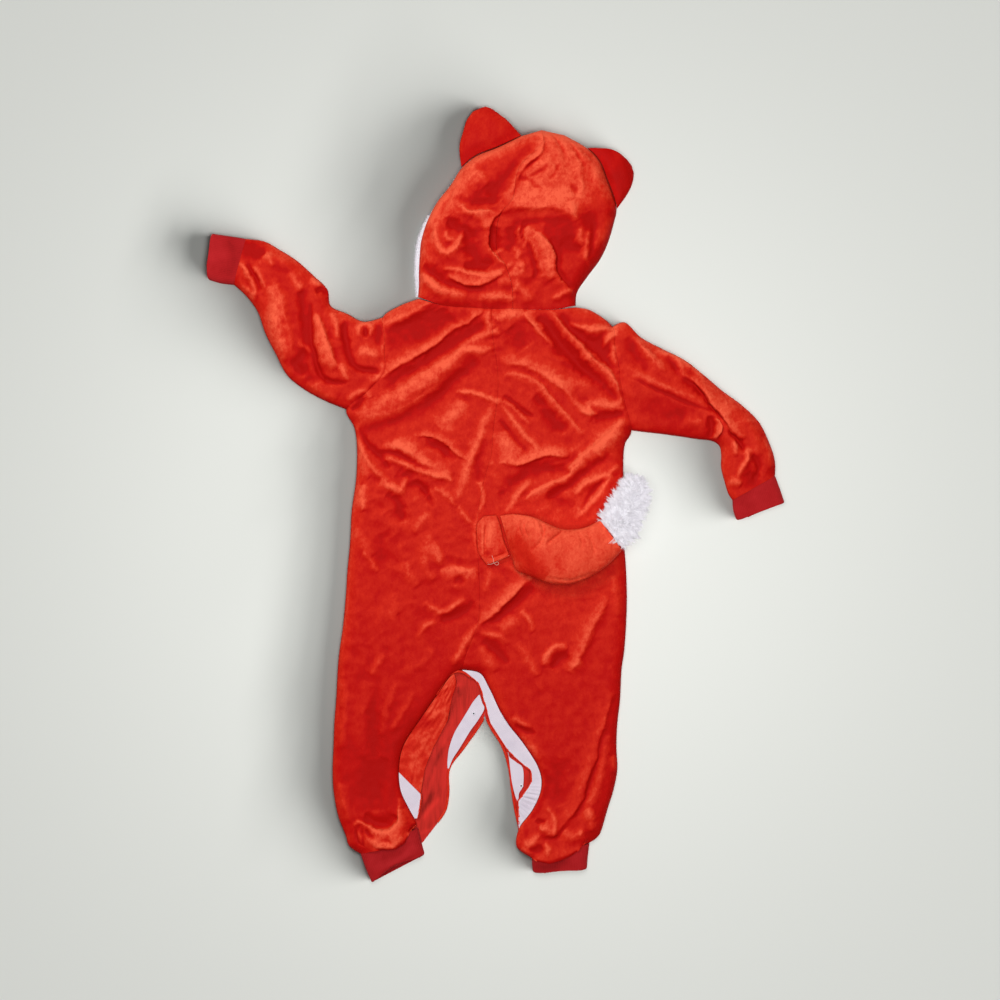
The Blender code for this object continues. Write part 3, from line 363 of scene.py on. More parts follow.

# Creases of the upper cloth, one a row: a label to find it by, then rise, lean, painted light, width
# and path. Rise is the ridge's height, or a hollow's depth below zero; lean pushes its crest to the
# left of its path; painted light is a highlight painted on the pile there, or below zero a painted
# shade.
BACK_CREASES = [
    ("left shoulder ridge", 3, 0, 0.3, 5, [(-76, 219), (-92, 209), (-118, 200), (-130, 195)]),
    ("left armhole lip", 1, 0, 0.34, 1.7,
     [(-131, 203), (-129, 182), (-129, 161), (-130, 143), (-139, 131)]),
    ("left shoulder hollow", -3, 0, -0.3, 8, [(-50, 212), (-80, 203), (-126, 184)]),
    ("under left shoulder", -3, 0, -0.3, 13, [(-26, 203), (-70, 190), (-127, 170)]),
    ("blade ridge", 4.4, 1.5, 0.4, 5.5,
     [(-12, 212), (-32, 199), (-58, 183), (-80, 168), (-101, 156), (-122, 142), (-150, 120)]),
    ("blade valley", -3.5, 0, -0.35, 8, [(-8, 198), (-48, 171), (-88, 148), (-128, 120)]),
    ("blade band", 5, 0, 0.3, 11,
     [(-2, 166), (-32, 164), (-52, 150), (-68, 136), (-100, 114), (-130, 100), (-164, 88)]),
    ("blade band, upper edge", 2, 0, 0.28, 5,
     [(-40, 165), (-58, 152), (-82, 136), (-112, 116), (-140, 102)]),
    ("blade band, foot", 2, -2, 0.3, 7, [(-62, 128), (-88, 107), (-120, 93), (-158, 86)]),
    ("under the band", -4, 0, -0.35, 9, [(-18, 152), (-46, 134), (-62, 115), (-98, 92), (-152, 72)]),
    ("band's inner ridge", 2.5, 0, 0.35, 5, [(-42, 169), (-22, 180), (-2, 187), (6, 183)]),
    ("blade cap", 2, 0, 0.3, 4, [(-44, 166), (-26, 165), (-8, 162)]),
    ("nape fold, left", 3, 0, 0.3, 6, [(-6, 210), (-8, 200), (-2, 190)]),
    ("nape band", 3, 0, 0.5, 7, [(2, 199), (14, 207), (34, 208)]),
    ("nape fold, right", 4.5, -2, 0.5, 5.5, [(33, 209), (42, 198), (54, 184), (68, 169)]),
    ("nape fold, hollow", -2.5, 0, -0.25, 10, [(44, 207), (62, 187), (84, 163), (112, 134)]),
    ("nape pool", -2, 0, -0.22, 14, [(16, 192), (28, 178), (36, 168)]),
    ("right blade ridge", 5.5, 1.5, 0.4, 5,
     [(62, 210), (76, 192), (92, 174), (108, 158), (124, 143), (138, 126), (146, 103)]),
    ("right blade ridge, twin", 2, 0, 0.25, 2.6, [(94, 176), (114, 160), (130, 142), (143, 122)]),
    ("right blade valley", -4, 0, -0.4, 8, [(48, 203), (68, 182), (90, 156), (112, 134), (142, 108)]),
    ("right shoulder hollow", -3.5, 0, -0.35, 8, [(74, 206), (98, 180), (122, 158), (140, 140)]),
    ("right shoulder ridge", 4, 0, 0.4, 4.5, [(84, 197), (104, 190), (130, 189), (141, 192)]),
    ("right armhole fold", 3, 0, 0.42, 4, [(141, 186), (131, 179), (122, 167)]),
    ("right armhole edge", 2, 0, 0.35, 3.5, [(135, 176), (136, 162), (138, 147)]),
    ("right armhole pit", -3, 0, -0.35, 6, [(103, 178), (120, 172), (130, 160)]),
    ("right arc, upper", 3.5, -1, 0.34, 7, [(6, 151), (28, 150), (52, 141), (72, 127), (90, 113)]),
    ("right arc, patch", 1, 0, 0.2, 9, [(48, 140), (72, 130), (112, 125)]),
    ("right arc, lower", 4, 1.5, 0.36, 4.5,
     [(8, 138), (30, 136), (48, 127), (62, 112), (76, 96), (90, 80), (101, 69)]),
    ("right arc, hollow", -2.5, 0, -0.25, 10, [(44, 112), (62, 94), (80, 70)]),
    ("right arc, tail", 2.5, 0, 0.25, 4, [(82, 118), (94, 103), (108, 92), (114, 82)]),
    ("right side, across", 3, 0, 0.42, 6, [(106, 104), (126, 103), (148, 98)]),
    ("right side, hollow", -3, 0, -0.3, 6, [(106, 86), (126, 90), (148, 92)]),
    ("star ray", 2, 0, 0.3, 2.4, [(104, 108), (107, 97), (108, 84)]),
    ("star ray, flat", 2, 0, 0.3, 2.4, [(96, 98), (108, 93), (118, 91)]),
    ("centre knot", 3, 0, 0.35, 4, [(-8, 112), (0, 106), (8, 106)]),
    ("across to the knot", 3, 0, 0.5, 3, [(-44, 117), (-28, 116), (-14, 112), (-4, 106)]),
    ("left soft patch", 2, 0, 0.42, 9, [(-66, 76), (-56, 84), (-42, 98), (-38, 108)]),
    ("centre ridge, left", 3, 0, 0.36, 6.5,
     [(-1, 101), (-10, 86), (-17, 66), (-24, 50), (-31, 32), (-38, 8), (-46, -8)]),
    ("centre hollow", -2, 0, -0.2, 7, [(-12, 62), (-18, 40), (-18, 14)]),
    ("beside the right tape", -1, 0, -0.26, 4.5,
     [(56, -312), (59, -330), (55, -348), (44, -366), (34, -380), (36, -394)]),
    ("fan ray, upper", 2.2, 0, 0.25, 2.6, [(8, 106), (26, 94), (40, 80)]),
    ("fan ray", 3.4, 0, 0.32, 3, [(5, 102), (20, 86), (36, 66), (54, 47)]),
    ("fan groove", -2.6, 0, -0.35, 2.8, [(10, 112), (28, 98), (44, 88)]),
    ("fan groove, lower", -2.6, 0, -0.3, 2.6, [(3, 86), (20, 68), (38, 46)]),
    ("fan patch", 2, 0, 0.36, 11, [(4, 72), (14, 56), (26, 44)]),
    ("fan foot", 4, -2.5, 0.46, 6, [(4, 37), (26, 37), (48, 44), (66, 48), (84, 44)]),
    ("under the fan", -3.2, 0, -0.3, 9, [(2, -8), (20, 12), (44, 27), (76, 33), (96, 44)]),
    ("right dark panel", -1, 0, -0.14, 14, [(56, 92), (74, 72), (90, 52)]),
    ("left fan, band", 3.5, 0, 0.46, 6.5, [(-130, 54), (-108, 55), (-88, 42), (-68, 28), (-50, 22)]),
    ("left fan, wedge", 2, 0, 0.3, 8, [(-118, 58), (-100, 56), (-92, 48)]),
    ("left fan, arc", 3, -2, 0.3, 3.2, [(-94, 68), (-72, 67), (-56, 60), (-44, 49), (-33, 40)]),
    ("left fan, under the arc", -2.6, 0, -0.25, 6, [(-80, 60), (-60, 52), (-46, 40)]),
    ("left fan, groove", -2.2, 0, -0.34, 3.8, [(-134, 48), (-108, 45), (-86, 35), (-62, 25)]),
    ("left fan, lower ridge", 3.4, 0, 0.38, 3.2,
     [(-130, 40), (-110, 37), (-86, 28), (-60, 20), (-48, 15)]),
    ("left fan, pool", -2.4, 0, -0.2, 11, [(-112, 27), (-96, 14), (-78, 2)]),
    ("left side ridge", 4, 0, 0.32, 4, [(-158, 66), (-148, 44), (-138, 28), (-124, 16)]),
    ("left side groove", -3, 0, -0.35, 3.6, [(-156, 78), (-146, 58), (-130, 42), (-122, 30)]),
    ("left side strip", 2, 0, 0.2, 5, [(-157, 50), (-152, 32), (-146, 20)]),
    ("left waist hook", 4, 0, 0.45, 5, [(-132, 16), (-120, 10), (-108, 4), (-103, 20)]),
    ("left waist pit", -3, 0, -0.25, 6, [(-126, 0), (-112, -10), (-106, -32)]),
    ("left waist edge", 3, 0, 0.4, 7, [(-150, 12), (-152, -4), (-150, -18)]),
    ("waist cross, left", 2.6, 0, 0.32, 2.8, [(-70, 8), (-56, -1), (-44, -14)]),
    ("waist cross, right", 2.4, 0, 0.28, 3, [(-42, -14), (-34, -24), (-28, -32)]),
    ("waist cross, groove", -2.6, 0, -0.25, 3.6, [(-92, 18), (-78, 2), (-70, -14)]),
    ("tab's leader", 3, 0, 0.3, 2.2, [(-18, 14), (-15, 4), (-13, -8), (-17, -20)]),
    ("tab's left line", 1.8, 0, 0.28, 1.8, [(-18, -20), (-23, -34), (-23, -56), (-20, -74)]),
    ("right waist, long", 6, -3, 0.36, 9, [(150, 86), (136, 72), (118, 56), (98, 38), (84, 26)]),
    ("right waist, broad", 3, 0, 0.26, 11, [(148, 74), (132, 62), (114, 48)]),
    ("right waist, run", 3.6, -1.5, 0.34, 4, [(104, 36), (82, 20), (60, 10), (44, 2), (34, -8)]),
    ("right waist, second run", 3, 0, 0.3, 3.6, [(40, 18), (30, 4), (20, -10), (10, -20)]),
    ("right waist, gutter", -3.6, 0, -0.28, 6, [(132, 48), (108, 28), (82, 8), (58, -6)]),
    ("right hip, upper", 4, 0, 0.32, 4.5, [(142, 34), (124, 20), (104, 12), (90, 0)]),
    ("right hip, lower", 4, 0, 0.36, 5.5, [(134, 22), (120, 2), (108, -12), (92, -28)]),
    ("right hip, gutter", -3, 0, -0.3, 3.5, [(128, 18), (112, 2), (98, -18)]),
    ("right hip, pool", -2, 0, -0.22, 9, [(62, 6), (74, -6), (90, -14)]),
    ("left hip, faint", 2.08, 0, 0.19, 6.5, [(-92, -44), (-84, -30), (-76, -20)]),
    ("left hip, faint run", 1.92, 0, 0.16, 9.1, [(-84, -44), (-74, -60), (-60, -76)]),
    ("left side, faint", 1.6, 0, 0.16, 6.5, [(-160, -38), (-148, -58), (-140, -70)]),
    ("left side, nick", 2.08, 0, 0.2, 3.64, [(-152, -68), (-143, -74), (-136, -88)]),
    ("left hip pools", -1.6, 0, -0.14, 12, [(-134, -44), (-128, -62), (-136, -84)]),
    ("left seat, soft", 2, 0, 0.16, 9, [(-104, -76), (-98, -92), (-90, -104)]),
    ("left seat, vertical", 2, 0, 0.16, 6, [(-76, -56), (-80, -82), (-70, -98)]),
    ("seat patch", 2.4, 1.5, 0.52, 7.5, [(-64, -88), (-48, -86), (-34, -88), (-20, -88)]),
    ("seat patch, arm", 2, 0, 0.28, 4, [(-60, -82), (-66, -66), (-70, -52)]),
    ("seat patch, scallop", -2, 0, -0.3, 4, [(-46, -103), (-42, -95), (-38, -103)]),
    ("under the tab", 2, 0, 0.22, 3, [(10, -80), (24, -88), (42, -97)]),
    ("under the tab, soft", 1.6, 0, 0.2, 5, [(-10, -86), (-8, -98), (-12, -112)]),
    ("seat, long", 4.6, 2, 0.4, 6.5, [(42, -94), (26, -106), (12, -120), (-2, -134), (-18, -146)]),
    ("seat, long, gutter", -3, 0, -0.28, 6, [(46, -106), (30, -120), (12, -136), (-6, -148)]),
    ("seat to crotch", 3.4, 0, 0.28, 5, [(-16, -146), (-30, -164), (-40, -182), (-50, -196)]),
    ("crotch branch", 2.4, 0, 0.3, 3.64, [(-18, -157), (-4, -161), (8, -164), (13, -171)]),
    ("crotch gutter", -2.6, 0, -0.22, 6, [(-14, -166), (0, -178), (14, -194)]),
    ("crotch patch", 1.6, 0, 0.19, 7.8, [(-18, -174), (-8, -188), (0, -202)]),
    ("seat cup", 2.88, 0, 0.31, 3.9, [(-82, -121), (-70, -130), (-56, -135), (-46, -128), (-36, -119)]),
    ("seat cup, shade", -3, 0, -0.26, 6, [(-64, -144), (-42, -138), (-24, -122)]),
    ("seat nick", 2.4, 0, 0.22, 3.64, [(-70, -144), (-81, -152), (-88, -164)]),
    ("left thigh, faint", 1.28, 0, 0.16, 9.1, [(-136, -140), (-124, -137), (-112, -138)]),
    ("left thigh, nick", 1.92, 0, 0.17, 5.2, [(-126, -184), (-134, -194), (-142, -206)]),
    ("left thigh, long", 1.6, 0, 0.11, 7.8, [(-112, -112), (-116, -126), (-110, -136)]),
    ("left thigh, run", 1.44, 0, 0.09, 6.5, [(-70, -178), (-84, -192), (-104, -200)]),
    ("right seat, soft", 2.6, 0, 0.24, 8, [(24, -140), (16, -150), (8, -158)]),
    ("right seat, ray", 2.4, 0, 0.22, 3.9, [(30, -134), (38, -144), (43, -156)]),
    ("right thigh, ray", 2, 0, 0.2, 6, [(24, -170), (38, -188), (48, -208)]),
    ("right hip, long", 3.6, 1, 0.26, 7.5,
     [(128, -116), (122, -134), (112, -150), (104, -168), (96, -184), (88, -198)]),
    ("right hip, long, pool", 2, 0, 0.3, 6, [(98, -188), (92, -194), (84, -202)]),
    ("right hip, side", 2, 0, 0.14, 6, [(134, -92), (138, -116), (140, -140)]),
    ("right seat arc", 3.6, 1, 0.42, 5.5, [(54, -196), (59, -182), (70, -174), (82, -176)]),
    ("right seat arc, shade", -3, 0, -0.25, 6, [(64, -200), (72, -188), (86, -184)]),
    ("left leg, streak", 2, 0, 0.12, 6, [(-112, -212), (-124, -244), (-130, -276)]),
    ("left leg, streak 2", 1.8, 0, 0.12, 5, [(-92, -226), (-106, -248), (-120, -270)]),
    ("left leg, streak 3", 1.6, 0, 0.12, 9, [(-146, -214), (-152, -256), (-150, -300)]),
    ("left leg, shade", -1.4, 0, -0.12, 10, [(-136, -220), (-142, -264), (-136, -300)]),
    ("left leg, outer", 1.6, 0, 0.16, 6, [(-176, -210), (-172, -250), (-178, -290)]),
    ("left leg, low edge", 1.92, 0, 0.19, 5.2, [(-178, -330), (-174, -352), (-166, -374)]),
    ("left leg, low pool", -2.2, 0, -0.16, 14, [(-128, -300), (-138, -330), (-134, -362)]),
    ("left ankle roll, crest", 5, 1.5, 0.38, 3,
     [(-162, -379), (-155, -375), (-146, -380), (-132, -386), (-120, -384), (-112, -375),
      (-110, -360), (-110, -346)]),
    ("left ankle roll, belly", 5, 0, 0.32, 9,
     [(-158, -390), (-144, -394), (-126, -395), (-112, -389), (-105, -374), (-106, -358)]),
    ("left ankle roll, side", 2, 0, 0.3, 4, [(-140, -400), (-128, -403), (-116, -402), (-106, -393)]),
    ("left ankle nick", -2.4, 0, -0.32, 2.2, [(-148, -384), (-142, -390), (-136, -393)]),
    ("left ankle nick 2", -2, 0, -0.28, 2, [(-152, -384), (-150, -394), (-152, -402)]),
    ("left ankle nick 3", -2, 0, -0.28, 2, [(-158, -384), (-157, -394), (-154, -400)]),
    ("left ankle nick 4", -1.8, 0, -0.22, 2.4, [(-132, -397), (-124, -396), (-118, -399)]),
    ("left ankle, over the roll", -4, 0, -0.2, 6,
     [(-150, -366), (-136, -376), (-122, -376), (-116, -366)]),
    ("right leg, tape fold", 2.4, 0, 0.28, 4.42, [(20, -254), (30, -261), (43, -265)]),
    ("right leg, tape shade", -2.6, 0, -0.25, 4, [(22, -264), (34, -270), (46, -272)]),
    ("right leg, tape puff", 1.92, 0, 0.27, 5.85, [(28, -274), (41, -287), (52, -302)]),
    ("right calf side", 1.92, 0, 0.22, 3.9, [(133, -299), (137, -308), (136, -318)]),
    ("right shin, long", 3.2, 1.5, 0.2, 6.5,
     [(136, -226), (126, -250), (119, -276), (114, -300), (104, -326), (98, -350), (80, -372),
      (66, -392)]),
    ("right shin, second", 2.4, 0, 0.16, 6.5,
     [(130, -276), (124, -304), (116, -336), (108, -364), (96, -394)]),
    ("right shin, gutter", -2.6, 0, -0.2, 5, [(122, -268), (116, -302), (106, -338), (92, -372)]),
    ("right calf pool", -2, 0, -0.18, 12, [(72, -300), (70, -330), (76, -356)]),
    ("right ankle puff", 5, 0, 0.4, 7, [(50, -379), (60, -383), (62, -391)]),
    ("right ankle puff, low", 3, 0, 0.36, 6, [(36, -403), (44, -396), (52, -388)]),
    ("right ankle notch", -3, 0, -0.36, 2.8, [(47, -371), (52, -374), (58, -374)]),
    ("right ankle crumple", 2.4, 0, 0.38, 2.6, [(56, -398), (61, -403), (58, -411)]),
    ("right ankle arc", 2.4, 0, 0.32, 2.6, [(60, -358), (66, -368), (69, -380), (66, -392)]),
    ("right ankle, toe side", 2, 0, 0.2, 4, [(30, -404), (36, -408), (44, -412)]),
    ("right ankle, toe pit", -3, 0, -0.28, 4, [(40, -407), (48, -407), (54, -402)]),
    ("right ankle, heel side", 4, 0, 0.26, 6, [(78, -386), (88, -392), (102, -386)]),
    ("right ankle, low side", 3, 0, 0.24, 5, [(104, -360), (112, -372), (112, -386)]),
]
SLEEVE_CREASES = [
    ("left sleeve, body", 5, 0, 0, 26, [(-256, 254), (-226, 192), (-176, 146)]),
    ("left wrist fold", 4, 0, 0.34, 3.6, [(-294, 266), (-286, 257), (-278, 244), (-273, 228)]),
    ("left wrist fold 2", 3, 0, 0.3, 3.4, [(-276, 262), (-268, 248), (-262, 236)]),
    ("left wrist groove", -3, 0, -0.3, 3.4, [(-284, 264), (-276, 250), (-268, 232)]),
    ("left wrist shade", -1.5, 0, -0.62, 13, [(-290, 286), (-278, 282), (-264, 275)]),
    ("left wrist edge", 2.4, 0, 0.3, 4, [(-292, 240), (-280, 232), (-274, 224)]),
    ("left sleeve ridge", 5, 0, 0.42, 9,
     [(-258, 240), (-251, 222), (-251, 200), (-246, 176), (-240, 154)]),
    ("left sleeve ridge, twin", 2.4, 0, 0.1, 4, [(-252, 248), (-244, 222), (-236, 190), (-232, 160)]),
    ("left sleeve wedge", 3, 0, 0.32, 6, [(-236, 254), (-228, 242), (-222, 232)]),
    ("left sleeve gutter", -4, 0, -0.28, 7, [(-222, 232), (-218, 200), (-216, 172), (-224, 150)]),
    ("left sleeve, outer top", 1.5, 0, 0.02, 5, [(-262, 276), (-240, 262), (-216, 244)]),
    ("left sleeve corner", 3, 0, 0.34, 4.5, [(-213, 247), (-204, 242), (-198, 244)]),
    ("left sleeve corner pit", -4, 0, -0.35, 4.5, [(-206, 230), (-198, 234), (-193, 228)]),
    ("left sleeve hem crease", -5, 0, -0.5, 3.4,
     [(-212, 218), (-211, 188), (-207, 158), (-200, 138), (-188, 129), (-170, 128)]),
    ("left sleeve head", 6, 2, 0.44, 6.5,
     [(-206, 206), (-200, 190), (-193, 170), (-187, 154), (-181, 144)]),
    ("left sleeve head, twin", 3.4, 0, 0.34, 3.4, [(-187, 208), (-183, 194), (-180, 178)]),
    ("left sleeve head, groove", -4, 0, -0.42, 4, [(-173, 200), (-173, 182), (-169, 162), (-160, 148)]),
    ("left sleeve nub", 3, 0, 0.4, 3.4, [(-176, 150), (-172, 140), (-167, 132)]),
    ("left sleeve, underside", 2.4, 0, 0.16, 6, [(-216, 128), (-200, 118), (-182, 110)]),
    ("left wrist streak", 2.4, 0, 0.26, 3, [(-262, 276), (-258, 268), (-254, 260)]),
    ("left elbow shade", -1.6, 0, -0.24, 11, [(-224, 162), (-216, 142), (-206, 126)]),
    ("left sleeve, top shade", -1, 0, -0.12, 9, [(-262, 268), (-240, 252), (-222, 238)]),
    ("left sleeve, low pit", -3, 0, -0.24, 5, [(-228, 156), (-226, 144), (-222, 134)]),
    ("left sleeve, low fold", 2.6, 0, 0.24, 3, [(-226, 174), (-216, 168), (-208, 160)]),
    ("left armhole groove", -4, 0, -0.45, 2.8, [(-168, 152), (-156, 145), (-142, 142), (-128, 141)]),
    ("left armhole patch", 3, 0, 0.42, 7, [(-158, 166), (-146, 162), (-132, 158)]),
    ("left armhole bubble", 4, 0, 0.34, 3.2,
     [(-157, 180), (-157, 192), (-149, 198), (-143, 190), (-146, 180)]),
    ("left armhole bubble, pit", -3, 0, -0.4, 2.6, [(-150, 192), (-149, 186), (-149, 180)]),
    ("left armhole, dark strip", -2, 0, -0.3, 5, [(-136, 196), (-134, 184), (-136, 172)]),
    ("left underarm, ray", 3, 0, 0.36, 3.4, [(-170, 108), (-160, 114), (-150, 119), (-142, 110)]),
    ("left underarm, pit", -4, 0, -0.4, 4, [(-166, 97), (-157, 102), (-151, 112)]),
    ("right sleeve, body", 5, 0, 0, 26, [(168, 132), (232, 104), (288, 44)]),
    ("right sleeve, head ridge", 4, 0, 0.3, 4.5, [(159, 180), (172, 164), (182, 152), (196, 141)]),
    ("right sleeve, head shade", -2.5, 0, -0.25, 7, [(152, 180), (160, 158), (176, 142)]),
    ("right sleeve, rim", 3, 0, 0.24, 4, [(184, 165), (204, 158), (224, 146), (240, 132)]),
    ("right sleeve, rim curl", 4, 0, 0.36, 4, [(206, 156), (212, 146), (217, 136), (228, 131)]),
    ("right sleeve, wedge", -4, 0, -0.35, 6, [(196, 158), (212, 140), (226, 124), (238, 112)]),
    ("right sleeve, ridge", 6.5, -3.5, 0.34, 7,
     [(226, 134), (242, 117), (256, 99), (268, 84), (282, 64)]),
    ("right sleeve, ridge shade", -4.5, 0, -0.45, 2.8, [(226, 128), (242, 108), (254, 94), (262, 86)]),
    ("right sleeve, long groove", -1.8, 0, -0.34, 1.8,
     [(152, 138), (176, 124), (200, 113), (226, 103), (254, 96)]),
    ("right sleeve, long lip", 1.4, 0, 0.2, 3.6, [(158, 142), (182, 129), (206, 118), (230, 110)]),
    ("right sleeve, lower field", -1, 0, -0.18, 16, [(166, 100), (200, 92), (236, 86)]),
    ("right sleeve, low puff", 2.4, 0, 0.18, 7, [(216, 88), (226, 84), (236, 86)]),
    ("elbow lap", 5, 3.5, 0.5, 3.4, [(251, 86), (256, 76), (252, 64)]),
    ("elbow lap, shade", -5, 0, -0.5, 4.4, [(243, 90), (247, 78), (246, 66)]),
    ("forearm band", 3.4, 0, 0.06, 10, [(262, 106), (280, 92), (294, 70), (302, 44)]),
    ("forearm groove", -4.5, 0, -0.45, 3, [(268, 74), (278, 64), (286, 50)]),
    ("forearm groove 2", -3, 0, -0.32, 3.4, [(296, 46), (302, 30), (296, 14)]),
    ("forearm spark", 3, 0, 0.38, 3, [(275, 62), (274, 54), (277, 46)]),
    ("forearm fold", 4, 0, 0.38, 3.6, [(288, 54), (290, 42), (283, 30), (277, 18)]),
    ("forearm, wrist nub", 3, 0, 0.34, 4, [(266, 14), (276, 14), (282, 10)]),
    ("forearm, dark field", -2, 0, -0.2, 9, [(288, 24), (296, 12), (300, 24)]),
    ("forearm, outer", 2.4, 0, 0.18, 5, [(308, 66), (314, 46), (316, 30)]),
]
